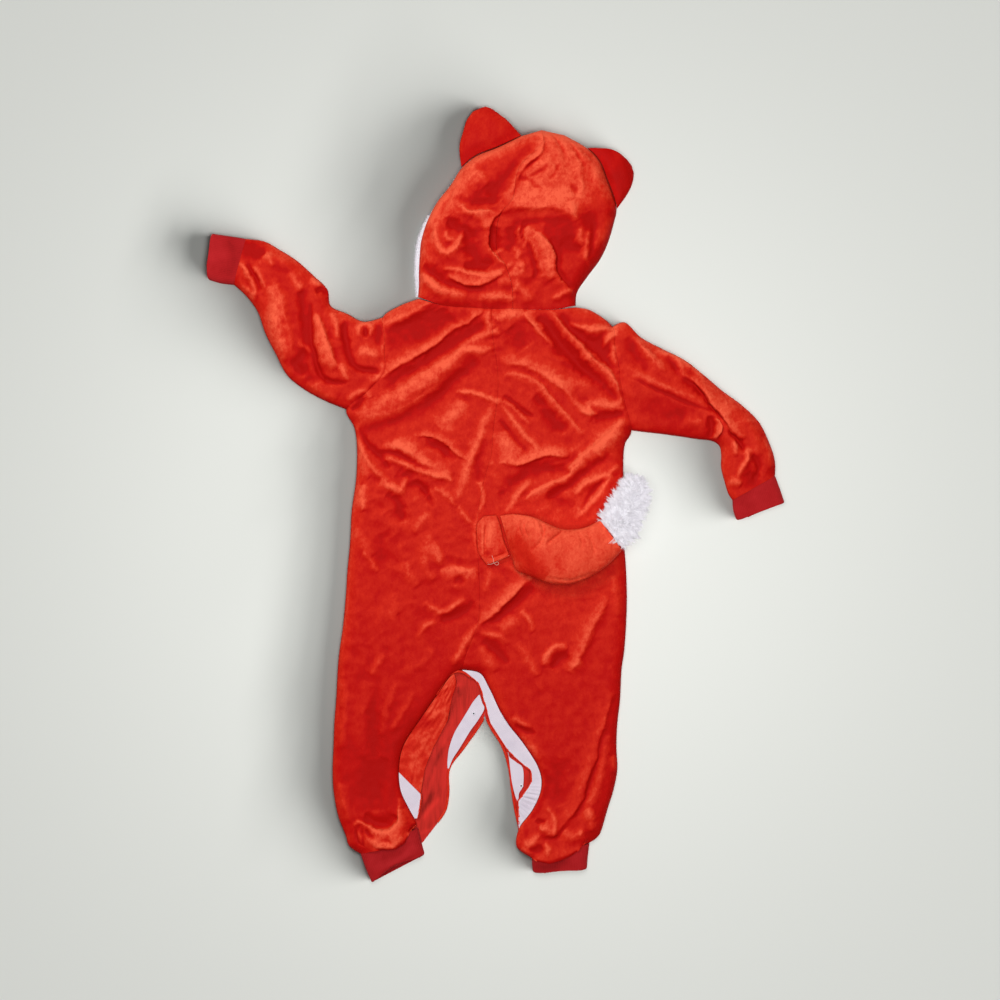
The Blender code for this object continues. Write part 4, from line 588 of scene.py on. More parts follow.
HOOD_CREASES = [
    ("crown dome", 17, 0, 0, 60, [(51, 362), (74, 342), (74, 312)]),
    ("left lobe", 10, 0, 0, 46, [(-32, 339), (-41, 293), (-35, 253)]),
    ("crown sheen", 0, 0, 0.31, 20, [(62, 416), (58, 390), (44, 366), (40, 342)]),
    ("crown sheen, right", 0, 0, 0.31, 24, [(92, 398), (88, 372), (82, 346)]),
    ("crown sheen, low", 0, 0, 0.3, 11, [(10, 338), (44, 343), (76, 341), (118, 338)]),
    ("crown sheen, rim", 0, 0, 0.28, 13, [(110, 388), (122, 362), (130, 338)]),
    ("crown lip", 5, -1, 0.06, 9, [(2, 320), (17, 326), (34, 329), (54, 330), (72, 326), (90, 318)]),
    ("crown lip, end", 3, 0, 0.36, 6, [(86, 334), (89, 324), (92, 311)]),
    ("crown lip, foot", -2.4, 0, -0.36, 6, [(16, 296), (26, 307), (42, 312), (62, 312), (88, 308)]),
    ("crown lip, foot crease", 0, 0, 0.1, 6, [(22, 318), (46, 321), (76, 317)]),
    ("crown pocket", -2, 0, -0.26, 15, [(54, 304), (78, 300), (92, 292)]),
    ("crown pocket, low", -3, 0, -0.32, 8, [(72, 286), (84, 284), (98, 279)]),
    ("right of the lip", -1, 0, -0.26, 11, [(105, 322), (109, 312), (112, 300)]),
    ("nape hollow", -4, 0, -0.36, 5.5, [(62, 294), (70, 276), (70, 256), (79, 240), (89, 234)]),
    ("crown seam side", -3, 0, -0.34, 9, [(47, 412), (35, 388), (12, 362), (0, 342), (6, 334)]),
    ("crown ridge", 4, 1, 0.16, 4, [(54, 416), (50, 390), (34, 376), (24, 360), (20, 342)]),
    ("crown wrinkle 1", -2, 0, -0.24, 2.6, [(50, 384), (42, 378), (36, 372)]),
    ("crown wrinkle 2", -2, 0, -0.24, 2.6, [(58, 372), (48, 367), (40, 362)]),
    ("crown wrinkle 3", -2.4, 0, -0.3, 3, [(33, 359), (41, 358), (45, 351), (51, 349), (49, 341)]),
    ("crown wrinkle 4", -1.6, 0, -0.2, 2.6, [(74, 376), (68, 366), (62, 360)]),
    ("crown wrinkle 5", -1.6, 0, -0.2, 2.8, [(27, 368), (31, 360), (38, 364)]),
    ("crown wrinkle 6", -1.6, 0, -0.22, 2.2, [(86, 354), (90, 347), (92, 340)]),
    ("crown wrinkle 7", 1.6, 0, 0.14, 3, [(52, 378), (64, 374), (70, 362)]),
    ("crown pleat", -2, 0, -0.2, 2.4, [(68, 410), (76, 396), (80, 380)]),
    ("crown pleat 2", -1.8, 0, -0.18, 2.6, [(84, 404), (94, 390), (102, 374)]),
    ("crown pleat 3", -1.8, 0, -0.14, 2.6, [(96, 398), (108, 388), (118, 374)]),
    ("crown pleat 4", 1.6, 0, 0.1, 2.6, [(96, 376), (98, 356), (97, 340)]),
    ("left rim", 2.4, 0, 0.26, 6, [(-34, 372), (-20, 384), (2, 395), (26, 406)]),
    ("left side, broad", 0, 0, 0.32, 15, [(-22, 376), (-44, 352), (-60, 330), (-68, 306)]),
    ("left crown patch", 2, 0, 0.14, 7, [(-30, 352), (-18, 360), (-12, 350)]),
    ("left crown ray", 1.4, 0, 0.2, 2.6, [(-34, 356), (-24, 368), (-14, 362), (-8, 352)]),
    ("left crown shade", -2, 0, -0.22, 12, [(-30, 338), (-14, 346), (2, 352)]),
    ("left side rim", 2.4, 0, 0.24, 6, [(-50, 360), (-63, 344), (-73, 322), (-78, 304)]),
    ("left side groove", -1.6, 0, -0.16, 3, [(-47, 350), (-58, 332), (-64, 316)]),
    ("swirl lip", 3.6, 2, 0.46, 2.8, [(-40, 332), (-31, 324), (-16, 322), (1, 321)]),
    ("swirl lip shade", -2.4, 0, -0.2, 5, [(-42, 338), (-20, 333), (2, 332)]),
    ("swirl shoulder", 2.4, 0, 0.36, 5, [(-24, 317), (-12, 315), (-13, 303)]),
    ("swirl", 4.6, 0, 0.42, 4.6,
     [(-68, 312), (-69, 296), (-63, 281), (-53, 276), (-43, 282), (-38, 292), (-36, 302)]),
    ("swirl, inner", 2, 0, 0.24, 2.8, [(-58, 302), (-54, 291), (-46, 290)]),
    ("swirl pool", -3, 0, -0.34, 7, [(-56, 318), (-49, 308), (-44, 316)]),
    ("lobe valley", -4, 0, -0.38, 9,
     [(-56, 312), (-42, 305), (-32, 296), (-28, 280), (-20, 267), (-6, 262)]),
    ("lobe side", 1, 0, 0.12, 8, [(-78, 292), (-76, 274), (-66, 262)]),
    ("lobe foot pool", -2, 0, -0.2, 8, [(-82, 262), (-68, 256), (-60, 244)]),
    ("dent", -7, 0, -0.46, 8, [(-1, 306), (-2, 292), (3, 279)]),
    ("dent, right", -2, 0, -0.36, 9, [(18, 306), (18, 292), (14, 278)]),
    ("dent, top", 0, 0, 0.12, 5, [(-4, 311), (5, 316), (17, 314)]),
    ("dent edge", 4, 2.5, 0.12, 2.8,
     [(8, 325), (-4, 312), (-10, 300), (-9, 286), (-2, 273), (12, 259)]),
    ("dent edge, low", 1.4, 0, 0.34, 2.2, [(-4, 277), (2, 270), (13, 261)]),
    ("dent hem", 2.4, 0, 0.3, 3, [(36, 306), (36, 292), (32, 280)]),
    ("dent pleat", 2.4, 0, 0.26, 2.2, [(29, 312), (27, 297), (30, 284)]),
    ("dent pleat groove", -2.4, 0, -0.24, 2.2, [(33, 314), (31, 298), (34, 284)]),
    ("dent crumple", 2.4, 0, 0.3, 3.4, [(18, 282), (26, 277), (24, 268)]),
    ("seam crumple", 3, 0, 0.38, 5, [(13, 263), (24, 261), (35, 265)]),
    ("seam crumple, low", 2.4, 0, 0.32, 4.5, [(15, 251), (26, 254), (35, 258)]),
    ("seam crumple, foot", 2, 0, 0.26, 4, [(24, 248), (24, 240), (22, 233)]),
    ("seam crumple groove", -2, 0, -0.24, 2.2, [(14, 254), (22, 262), (30, 256)]),
    ("nape ridge", 6, 2, 0.34, 4.5,
     [(36, 306), (48, 298), (58, 287), (65, 275), (67, 260), (72, 246), (80, 238), (90, 231)]),
    ("nape ridge, flank", 3, 0, 0.36, 7, [(45, 297), (53, 281), (58, 264), (66, 247)]),
    ("nape ridge, left edge", 2, 0, 0.16, 2.4, [(36, 304), (41, 290), (45, 276), (50, 262), (57, 249)]),
    ("nape ridge shade", -2, 0, -0.24, 3.4, [(36, 292), (41, 276), (45, 258), (47, 244)]),
    ("right rim, inner", 3, 0, 0.3, 2.8, [(106, 300), (105, 286), (104, 270), (108, 258)]),
    ("right rim, patch", 2, 0, 0.26, 4, [(98, 302), (98, 292), (100, 284)]),
    ("right rim", 2, 0, 0.2, 8, [(134, 320), (126, 300), (114, 280)]),
    ("right rim, groove", -2, 0, -0.2, 3, [(112, 310), (112, 290), (110, 272)]),
    ("lobe crescent", 3.4, 0, 0.38, 2.6, [(-60, 258), (-42, 256), (-24, 253), (-4, 252), (12, 258)]),
    ("lobe crescent, lower", 4, -2, 0.4, 3.6,
     [(-54, 250), (-38, 243), (-20, 241), (-5, 247), (8, 254)]),
    ("lobe crescent, middle", 1, 0, 0.2, 5, [(-48, 252), (-28, 248), (-8, 250)]),
    ("lobe crescent shade", -3, 0, -0.24, 5, [(-36, 262), (-20, 261), (-2, 264)]),
    ("neck roll, left", 4, 0, 0.38, 6, [(-88, 250), (-76, 241), (-62, 233), (-46, 229), (-32, 228)]),
    ("neck roll, left, top", 2, 0, 0.24, 3.4, [(-87, 252), (-74, 244), (-62, 236)]),
    ("neck gutter", -3, 0, -0.28, 5.5, [(-84, 261), (-62, 244), (-36, 237), (-10, 233)]),
    ("neck roll, middle", 3, 0, 0.38, 5, [(-20, 223), (-4, 226), (10, 227), (24, 226)]),
    ("neck, centre patch", 2, 0, 0.2, 6, [(24, 240), (34, 232), (40, 222)]),
    ("neck, centre patch 2", 2, 0, 0.2, 6, [(2, 240), (12, 246), (16, 238)]),
    ("neck, right fold", 3, 0, 0.24, 4, [(66, 222), (78, 230), (90, 234)]),
]
CREASES = [Crease(*row) for row in BACK_CREASES + SLEEVE_CREASES + HOOD_CREASES]


# What a user may change ------------------------------------------------------------------------

def colour(name, description, default):
    return bpy.props.FloatVectorProperty(
        name=name, description=description, default=default, subtype="COLOR", size=3, min=0, max=1)


def length(name, description, default):
    """A size that is given in millimetres here and shown in scene units."""
    return bpy.props.FloatProperty(
        name=name, description=description, default=default * MM, subtype="DISTANCE",
        unit="LENGTH", precision=4)


class OnesieColours(bpy.types.PropertyGroup):
    """Dye and fibre colours; the velour's deep red is its painted shade and bright its painted
    highlight.
    """
    # Painted light: deep red is the velour's painted shade, bright its painted highlight
    deep: colour("Deep red", "Velour where its pile leans away", (0.45, 0.004, 0.003))
    body: colour("Body red", "Velour seen straight on", (0.58, 0.020, 0.008))
    bright: colour("Bright", "Velour where its pile catches the light", (0.81, 0.098, 0.045))
    lining: colour("Velour inside", "The knitted back of the velour", (0.50, 0.022, 0.016))
    rib: colour("Rib", "Cuffs", (0.41, 0.010, 0.012))
    tape: colour("Tape", "Snap tape and its thread", (0.69, 0.62, 0.69))
    fur: colour("Fur", "Tail tip and face trim", (0.97, 0.95, 0.98))
    floor: colour("Floor", "The surface that the garment lies on", (0.66, 0.67, 0.634))


class OnesieCloth(bpy.types.PropertyGroup):
    """How finely the cloth is made and how crushed it is."""
    spacing: length("Grid", "Distance between neighbouring points of the cloth", 1.85)
    crinkle: length("Crinkle", "Height of the small wrinkles", 0.55)
    pucker: length("Pucker", "Height of the puckers along seams", 0.75)
    rib_depth: length("Rib depth", "How deep the cuffs' ribs are", 0.16)
    rib_pitch: length("Rib pitch", "Distance between the cuffs' ribs", 2.0)


class OnesieFur(bpy.types.PropertyGroup):
    """Fur of the tail's tip and plush of the face trim."""
    hair: length("Hair", "Length of the tail's fur", 15.0)
    hairs: bpy.props.IntProperty(name="Hairs", description="Hairs on the tail's tip", default=6500)
    tufts: bpy.props.IntProperty(name="Tufts", description="Pointed tufts that they form", default=600)
    plush: length("Plush", "Length of the face trim's pile", 3.5)
    plush_hairs: bpy.props.IntProperty(
        name="Plush hairs", description="Hairs on the face trim where it shows", default=3500)


class OnesieStage(bpy.types.PropertyGroup):
    """Camera and light."""
    view_width: length("View width", "Width of the floor that the camera sees", 1150.0)
    camera_height: length("Camera height", "Camera over the floor", 2300.0)
    key_power: bpy.props.FloatProperty(
        name="Key", description="Power of the light from the upper left", default=26.0)
    cloth_power: bpy.props.FloatProperty(
        name="Cloth light", description="Power of the overhead light on the garment", default=62.0)
    fill_power: bpy.props.FloatProperty(
        name="Fill", description="Power of the overhead light on the floor", default=2.1)
    floor_power: bpy.props.FloatProperty(
        name="Floor light", description="Power of each low light on the floor", default=11500.0)


# Lines and distances -----------------------------------------------------------------------------

def smooth(table, where):
    """Read a table of numbers at fractional rows, as a smooth curve through its rows."""
    table = np.asarray(table, float)
    where = np.atleast_1d(np.asarray(where, float))
    last = len(table) - 1
    row = np.clip(np.floor(where).astype(int), 0, last - 1)
    share = (where - row)[:, None]
    before = table[np.maximum(row - 1, 0)]
    here = table[row]
    after = table[row + 1]
    beyond = table[np.minimum(row + 2, last)]
    return 0.5 * (2 * here + (after - before) * share
                  + (2 * before - 5 * here + 4 * after - beyond) * share ** 2
                  + (3 * here - before - 3 * after + beyond) * share ** 3)


def branch(shared, own, where):
    """Read a line that two panels share down to its last row, and that then goes its own way."""
    turn = len(shared) - 1
    where = np.asarray(where, float)
    above = smooth(shared, np.minimum(where, turn))
    below = smooth(np.vstack([shared[-1:], own]), np.maximum(where - turn, 0))
    return np.where(where[:, None] <= turn, above, below)


def fine(table):
    """The same smooth curve as a polyline with a few points a row."""
    last = len(table) - 1
    return smooth(table, np.linspace(0, last, last * LINE_STEPS + 1))


def nearest(points, line):
    """Distance to a polyline, how far along it that is from 0 to 1, and the unit way to its left.

    The distance is negative on the line's right.
    """
    start = line[:-1]
    run = line[1:] - start
    size = np.maximum((run ** 2).sum(1), 1e-9)
    left = np.column_stack([-run[:, 1], run[:, 0]]) / np.sqrt(size)[:, None]
    gap = np.empty(len(points))
    along = np.empty(len(points))
    side = np.empty((len(points), 2))
    for first in range(0, len(points), 4000):
        part = points[first:first + 4000]
        offset = part[:, None, :] - start[None]
        share = np.clip((offset * run[None]).sum(2) / size[None], 0, 1)
        square = ((offset - share[..., None] * run[None]) ** 2).sum(2)
        best = square.argmin(1)
        each = np.arange(len(part))
        turn = (offset[each, best] * left[best]).sum(1)
        gap[first:first + 4000] = np.where(turn < 0, -1, 1) * np.sqrt(square[each, best])
        along[first:first + 4000] = (best + share[each, best]) / len(run)
        side[first:first + 4000] = left[best]
    return gap, along, side


def distance(points, lines):
    """Distance from each point to the nearest of several polylines."""
    return np.min([np.abs(nearest(points, line)[0]) for line in lines], axis=0)


def columns(table, first):
    """Two neighbouring columns of a table as an array of places."""
    return np.array([row[first:first + 2] for row in table], float)


def front_centre(rows):
    """The front's centre line at the heights of the given rows."""
    (neck_x, neck_y), (crotch_x, crotch_y) = FRONT_NECK, FRONT_CROTCH
    share = (neck_y - rows[:, 1]) / (neck_y - crotch_y)
    return np.column_stack([neck_x + share * (crotch_x - neck_x), rows[:, 1]])


def grain(points, size, seed=0):
    """Smooth noise from -1 to 1 whose lumps are about size millimetres across."""
    scaled = np.asarray(points, float) / size
    if scaled.shape[1] == 2:
        scaled = np.column_stack([scaled, np.zeros(len(scaled))])
    return np.array([noise.noise((x, y, z + 17.3 * seed)) for x, y, z in scaled.tolist()])


def drift(points, size, seed):
    """Smooth noise in plan: a shift to the side and one up, with this seed and the next."""
    return np.column_stack([grain(points, size, seed), grain(points, size, seed + 1)])


LEFT_SIDE = np.vstack([columns(TRUNK, 0), columns(LEFT_LEG, 0)])
RIGHT_SIDE = np.vstack([columns(TRUNK, 4), columns(RIGHT_LEG, 0)])
BACK_SEAM = columns(TRUNK, 2)
BACK_OPEN_LEFT = columns(LEFT_LEG, 2)
BACK_OPEN_RIGHT = columns(RIGHT_LEG, 2)
FRONT_LEFT = columns(LEFT_LEG, 4)
FRONT_RIGHT = columns(RIGHT_LEG, 4)
FRONT_SEAM = np.vstack([front_centre(BACK_SEAM), FRONT_LEFT[:FRONT_JOINED]])
HOOD_LEFT = columns(HOOD, 0)
HOOD_SEAM = columns(HOOD, 2)
HOOD_RIGHT = columns(HOOD, 4)
HOOD_OUTLINE = np.vstack([fine(HOOD_LEFT)[::-1], HOOD_SEAM[:1], fine(HOOD_RIGHT)])


def outlines():
    """Every edge of the laid garment at which the back rounds down to the front."""
    lines = [HOOD_OUTLINE]
    for side, sleeve in ((LEFT_SIDE, LEFT_SLEEVE), (RIGHT_SIDE, RIGHT_SLEEVE)):
        whole = fine(side)
        lines += [whole[:LINE_STEPS * SHOULDER_ROW + 1], whole[LINE_STEPS * UNDERARM_ROW:]]
        lines += [fine(columns(sleeve, 0)), fine(columns(sleeve, 2))]
    return lines


def armholes():
    """The two seams at which the sleeves are set in."""
    first, last = LINE_STEPS * SHOULDER_ROW, LINE_STEPS * UNDERARM_ROW
    return [fine(side)[first:last + 1] for side in (LEFT_SIDE, RIGHT_SIDE)]


OUTLINES = outlines()
SET_IN_SEAMS = [fine(NECK)] + armholes()
CENTRE_SEAMS = [fine(BACK_SEAM), fine(HOOD_SEAM)]
SEAMS = SET_IN_SEAMS + CENTRE_SEAMS
OPENINGS = [fine(np.vstack([BACK_SEAM[-1:], edge])) for edge in (BACK_OPEN_LEFT, BACK_OPEN_RIGHT)]
TAIL_LINE = np.array([(row.start_x + row.end_x, row.start_y + row.end_y) for row in TAIL]) / 2


def relief(points, folds):
    """Height of listed folds, each a rise, a width and a path, or the amount of painted light along
    them.
    """
    total = np.zeros(len(points))
    for rise, width, path in folds:
        gap, along, _ = nearest(points[:, :2], fine(path))
        total += rise * np.exp(-(gap / width) ** 2) * np.sqrt(np.sin(np.pi * along) + 1e-6)
    return total


# The form of the upper cloth ---------------------------------------------------------------------

def roundness(gap, width=ROLL):
    """From 0 at an edge to 1 a roll's width inside it, as a quarter round."""
    inside = np.clip(gap / width, 0, 1)
    return np.sqrt(np.clip(1 - (1 - inside) ** 2, 0, 1))


def creased(points):
    """What all creases do at each point: rise, shift in plan, and painted highlight or painted shade."""
    places = points + sum(amount * drift(points, size, seed) for amount, size, seed in WANDER)
    rise = np.zeros(len(points))
    shift = np.zeros((len(points), 2))
    sheen = np.zeros(len(points))
    for crease in CREASES:
        line = smooth(crease.path, np.linspace(0, len(crease.path) - 1, 5 * len(crease.path)))
        reach = 2.6 * crease.width
        close = np.all((places > line.min(0) - reach) & (places < line.max(0) + reach), axis=1)
        if not close.any():
            continue
        gap, along, left = nearest(places[close], line)
        taper = np.sqrt(np.sin(np.pi * np.clip(along, 0, 1)) + 1e-6) if crease.width < 20 else 1.0
        steep = 1 - STEEPNESS * np.sign(crease.lean) * np.sign(gap)
        width = crease.width * (0.55 + 0.45 * taper) * steep
        bump = taper * np.exp(-(np.abs(gap) / width) ** 1.7)
        rise[close] += RISE * crease.rise * bump
        shift[close] += crease.lean * bump[:, None] * left
        # Painted light: a highlight along each crease's ridge, or painted shade in its hollow, broken up
        # by noise
        sheen[close] += crease.sheen * bump
    return rise, shift, sheen * (1 + 0.55 * grain(points, 8, 11) + 0.3 * grain(points, 3.6, 12))


def puckers(points, height):
    """Small ridges that run away from a seam on both sides, unevenly spaced."""
    lift = np.zeros(len(points))
    for number, line in enumerate(SEAMS):
        gap, along, _ = nearest(points, line)
        gap = np.abs(gap)
        run = along * np.linalg.norm(np.diff(line, axis=0), axis=1).sum()
        close = gap < 24
        wave = grain(np.column_stack([run[close], gap[close] * 0.2]), 6.5, 20 + number)
        lift[close] += height * wave * np.exp(-gap[close] / 8)
    return lift


def crinkles(points, height):
    """Small sharp wrinkles in patches, longer across the garment than along it."""
    places = (points + 6 * drift(points, 40, 5)) * (0.7, 1.0)
    ridges = 1 - np.abs(grain(places, 17, 7)) * 2.6
    small = 1 - np.abs(grain(places, 7.5, 8)) * 2.6
    patch = np.clip(0.5 + 1.3 * grain(points, 46, 9), 0, 1)
    patch *= 0.35 + 0.65 * np.clip((points[:, 1] + 190) / 150, 0, 1)
    return height * patch * (1.5 * ridges + 0.5 * small) + 0.9 * height * grain(points, 11, 10)


def upper_cloth(plan):
    """Places of the upper cloth over an array of points in plan, and the painted light of its creases,
    less painted shade at the seams.
    """
    cloth = bpy.context.scene.onesie_cloth
    points = plan.reshape(-1, 2)
    rise, shift, sheen = creased(points)
    pressed = np.exp(-(nearest(points, TAIL_LINE)[0] / TAIL_PRESS) ** 4)
    set_in = distance(points, SET_IN_SEAMS)
    held = np.exp(-(set_in / SEAM_HOLD) ** 2)
    free = (1 - FOLDS_PRESSED * pressed) * (1 - FOLDS_HELD * held)
    side = roundness(distance(points, OUTLINES))
    opening = roundness(distance(points, OPENINGS))
    dip = (SEAM_DIP * np.exp(-(set_in / SEAM_WIDTH) ** 2)
           + CENTRE_DIP * np.exp(-(distance(points, CENTRE_SEAMS) / SEAM_WIDTH) ** 2))
    level = SIDE_EDGE + (OPEN_EDGE - SIDE_EDGE) * (1 - opening)
    small = crinkles(points, cloth.crinkle / MM) + puckers(points, cloth.pucker / MM)
    lift = np.maximum(LIFT + rise * free - dip + small, LEAST_LIFT)
    places = np.empty((len(points), 3))
    places[:, :2] = points + shift * (free * side ** 3 * opening ** 3)[:, None]
    places[:, 2] = level + side * opening * lift
    # Painted shade: the cloth is painted darker where the seams dip
    return places.reshape(*plan.shape[:2], 3), (sheen - 0.08 * dip).reshape(plan.shape[:2])


# Grids of points ---------------------------------------------------------------------------------

def spread(start, end, shares, margins=(0.0, 0.0)):
    """Rows of places from one edge line to another, less a margin in millimetres at each."""
    across = end - start
    size = np.linalg.norm(across, axis=1)[:, None]
    first = margins[0] / size
    last = 1 - margins[1] / size
    share = first + (last - first) * np.asarray(shares)[None, :]
    return start[:, None, :] + share[..., None] * across[:, None, :]


def with_height(plan, height):
    """Add a height in millimetres, one number or one for each place, to places in plan."""
    level = np.broadcast_to(height, plan.shape[:2])
    return np.concatenate([plan, level[..., None]], axis=2)


def even_rows(first, second, last, spacing):
    """Fractional rows up to the last at which two edge lines are cut evenly, in millimetres."""
    rows = np.linspace(0, last, 20 * last + 1)
    steps = [np.linalg.norm(np.diff(line(rows), axis=0), axis=1) for line in (first, second)]
    along = np.concatenate([[0], np.cumsum(np.mean(steps, axis=0))])
    count = max(int(round(along[-1] / spacing)), 2)
    return np.interp(np.linspace(0, along[-1], count + 1), along, rows)


def between(first, second, spacing):
    """Two edge tables read at evenly spaced rows, and those rows."""
    rows = even_rows(lambda at: smooth(first, at), lambda at: smooth(second, at),
                     len(first) - 1, spacing)
    return smooth(first, rows), smooth(second, rows), rows


def one_edge(count):
    """Shares from 0 to 1 that stand closer together at 0."""
    even = np.arange(count + 1) / count
    return 0.6 * even + 0.4 * (1 - np.cos(0.5 * np.pi * even))


def both_edges(count):
    """Shares from 0 to 1 that stand closer together at both ends."""
    even = np.arange(count + 1) / count
    return 0.5 * even + 0.25 * (1 - np.cos(np.pi * even))


def to_neck(plan, pull, side):
    """Bring a row of the plan onto the neck seam, on the hood's side (+1) or the body's (-1)."""
    neck = fine(NECK)
    row = plan[0 if side < 0 else -1]
    from_corner = np.minimum(row[:, 0] - neck[0, 0], neck[-1, 0] - row[:, 0])
    gap = SEAM_GAP + NECK_CORNER_EASE * np.exp(-(from_corner / ROLL) ** 2)
    shift = np.interp(row[:, 0], neck[:, 0], neck[:, 1]) + side * gap / 2 - row[:, 1]
    plan[..., 1] += pull[:, None] * shift[None, :]
    return plan


def draw_back(plan, row, inward):
    """Move an end row of the plan by a seam's gap towards its neighbour row."""
    away = (plan[inward] - plan[row]).mean(axis=0)
    plan[row] += away / np.linalg.norm(away) * END_GAP
    return plan


def body_plan(side, seam, leg_edge, shares, spacing):
    """A body panel's places, from its side to its seam and, below that, its leg's inner edge."""
    last = len(LEFT_SIDE) - 1
    rows = even_rows(lambda at: smooth(side, at), lambda at: branch(seam, leg_edge, at),
                     last, spacing)
    plan = spread(smooth(side, rows), branch(seam, leg_edge, rows), shares, (0.0, SEAM_GAP / 2))
    return draw_back(to_neck(plan, np.clip(1 - rows, 0, 1), -1), -1, -2)


def padded_rings(table, rest, steps, sides, base=None, shrink=0.0, crown=1.0):
    """Rings of a stuffed piece that lie on its rest: a lower crown makes a flatter top.

    A base is the line that its first row is sewn to, on the hood.
    """
    rows = np.linspace(0, len(table) - 1, steps + 1)
    start = smooth(columns(table, 0), rows)[:, None, :]
    end = smooth(columns(table, 2), rows)[:, None, :]
    thickness = smooth([[row.thickness] for row in table], rows)
    turn = 2 * np.pi * np.arange(sides + 1) / sides
    share = 0.5 - 0.5 * np.cos(turn)[None, :]
    bulge = np.abs(np.sin(turn))
    height = np.where(np.sin(turn) > 0, bulge ** crown, -bulge ** 0.6)
    plan = start + (shrink + (1 - 2 * shrink) * share[..., None]) * (end - start)
    if base is not None:
        sewn = smooth(base, share[0] * (len(base) - 1))
        plan += np.clip(1 - rows / 2, 0, 1)[:, None, None] * (sewn - plan[0])[None]
    level = rest(plan) + thickness * (shrink + (1 - 2 * shrink) * 0.5 * (1 + height[None, :]))
    places = np.concatenate([plan, level[..., None]], axis=2)
    away = plan[0] - FACE_CENTRE if base is not None else plan[1] - plan[0]
    places[0, :, :2] += away / np.maximum(np.linalg.norm(away, axis=1), 1e-6)[:, None] * PADDED_GAP
    places[:, -1] = places[:, 0]
    return places


def closed_ends(places):
    """Rings with their first and last pressed flat, which closes the tube's ends."""
    ends = []
    for ring_places in (places[0], places[-1]):
        flat = ring_places.copy()
        flat[:, 2] = (ring_places[:, 2] + ring_places[::-1, 2]) / 2
        ends.append(flat[None])
    return np.concatenate([ends[0], places, ends[1]])


def on_floor(plan):
    """Level of a stuffed piece that lies on the surface."""
    return np.zeros(plan.shape[:2])


def on_back(plan):
    """Level of a stuffed piece that lies on the upper cloth."""
    return np.full(plan.shape[:2], TAIL_REST)


def off_the_side(plan):
    """Level on the cloth, then down to the surface beyond the garment's side."""
    start, run, lowest = TIP_DROP
    share = np.clip((plan[..., 0] - start) / run, 0, 1)
    return TAIL_REST + share * (lowest - TAIL_REST)


def embossed(places, lift, above=None):
    """A stuffed piece with lift(places) added, over a height if one is given, and closed ends."""
    flat = places.reshape(-1, 3)
    upper = 1 if above is None else flat[:, 2] > above
    flat[:, 2] += upper * lift(flat)
    places = closed_ends(flat.reshape(places.shape))
    places[:, -1] = places[:, 0]
    return places


# Meshes ------------------------------------------------------------------------------------------

def grid_normals(places):
    """Upward unit normals of a grid of places."""
    down = np.gradient(places, axis=0)
    across = np.gradient(places, axis=1)
    normal = np.cross(down, across)
    normal *= np.sign(normal[..., 2:].mean() or 1.0)
    return normal / np.maximum(np.linalg.norm(normal, axis=2, keepdims=True), 1e-9)


def blurred(field, radius):
    """A grid's values averaged over a square of the given radius in cells."""
    out = field
    for axis in (0, 1):
        pad = [(radius, radius) if axis == way else (0, 0) for way in (0, 1)]
        total = np.cumsum(np.pad(out, pad, mode="edge"), axis=axis)
        width = 2 * radius
        hi = np.take(total, range(width, total.shape[axis]), axis=axis)
        lo = np.take(total, range(0, total.shape[axis] - width), axis=axis)
        out = (hi - lo) / width
    return out


PAINTED_LIGHT_WAY = np.array([-0.42, 0.90])     # slopes facing this way are painted brighter, as if lit from the upper left
# A base level for the painted light, brighter towards the hood and darker towards the legs, and brighter
# or darker in a few round regions, each x, y, reach and amount
PAINTED_LIGHT_BASE = 0.25
LENGTHWISE_BRIGHTNESS = 0.05
REGION_BRIGHTNESS = ((75, 10, 70, 0.14), (-60, 15, 60, 0.06), (-140, -300, 75, -0.12), (80, -130, 60, 0.08))


def painted_light_of(places, sheen):
    """How bright the cloth is painted, 0 to 1: painted light of its creases, slopes facing the upper
    left painted brighter, crests brighter and hollows darker, over a base that differs by region.
    """
    # Painted light: slopes that face the upper left are painted brighter and those facing away darker
    slope = grid_normals(places)[..., :2] @ PAINTED_LIGHT_WAY
    level = places[..., 2]
    # Painted highlight on crests and painted shade in hollows
    crest = level - blurred(level, 5)
    base = PAINTED_LIGHT_BASE + LENGTHWISE_BRIGHTNESS * np.clip((places[..., 1] + 60) / 140, -1, 1)
    for x, y, reach, brightness_shift in REGION_BRIGHTNESS:
        square = (places[..., 0] - x) ** 2 + (places[..., 1] - y) ** 2
        base = base + brightness_shift * np.exp(-square / reach ** 2)
    return base + sheen + 0.6 * slope + 0.10 * np.clip(crest, -2, 2)


def mesh_object(name, verts, faces, attributes=None):
    """A mesh in millimetres as an object in metres; attributes are one number a point."""
    mesh = bpy.data.meshes.new(name)
    mesh.from_pydata((np.asarray(verts) * MM).tolist(), [], np.asarray(faces).tolist())
    for key, values in (attributes or {}).items():
        layer = mesh.attributes.new(key, "FLOAT", "POINT")
        layer.data.foreach_set("value", np.asarray(values, np.float32).ravel())
    mesh.update()
    mesh.shade_smooth()
    return placed(name, mesh)


def placed(name, data):
    """A mesh or curve as an object among the pieces."""
    piece = bpy.data.objects.new(name, data)
    pieces_collection().objects.link(piece)
    return piece


def pieces_collection():
    """The collection that holds all pieces, made when first asked for."""
    found = bpy.data.collections.get("onesie_pieces")
    if found is None:
        found = bpy.data.collections.new("onesie_pieces")
        bpy.context.scene.collection.children.link(found)
    return found


def quads(here, after):
    """Four-sided faces between the rows of two arrays of point numbers."""
    corners = [here[..., :-1, :], after[..., :-1, :], after[..., 1:, :], here[..., 1:, :]]
    return np.stack(corners, axis=-1).reshape(-1, 4)


def with_heights(piece, change):
    """Pass the heights of a piece's points, in metres, through a function."""
    verts = np.empty(len(piece.data.vertices) * 3)
    piece.data.vertices.foreach_get("co", verts)
    verts[2::3] = change(verts[2::3])
    piece.data.vertices.foreach_set("co", verts)


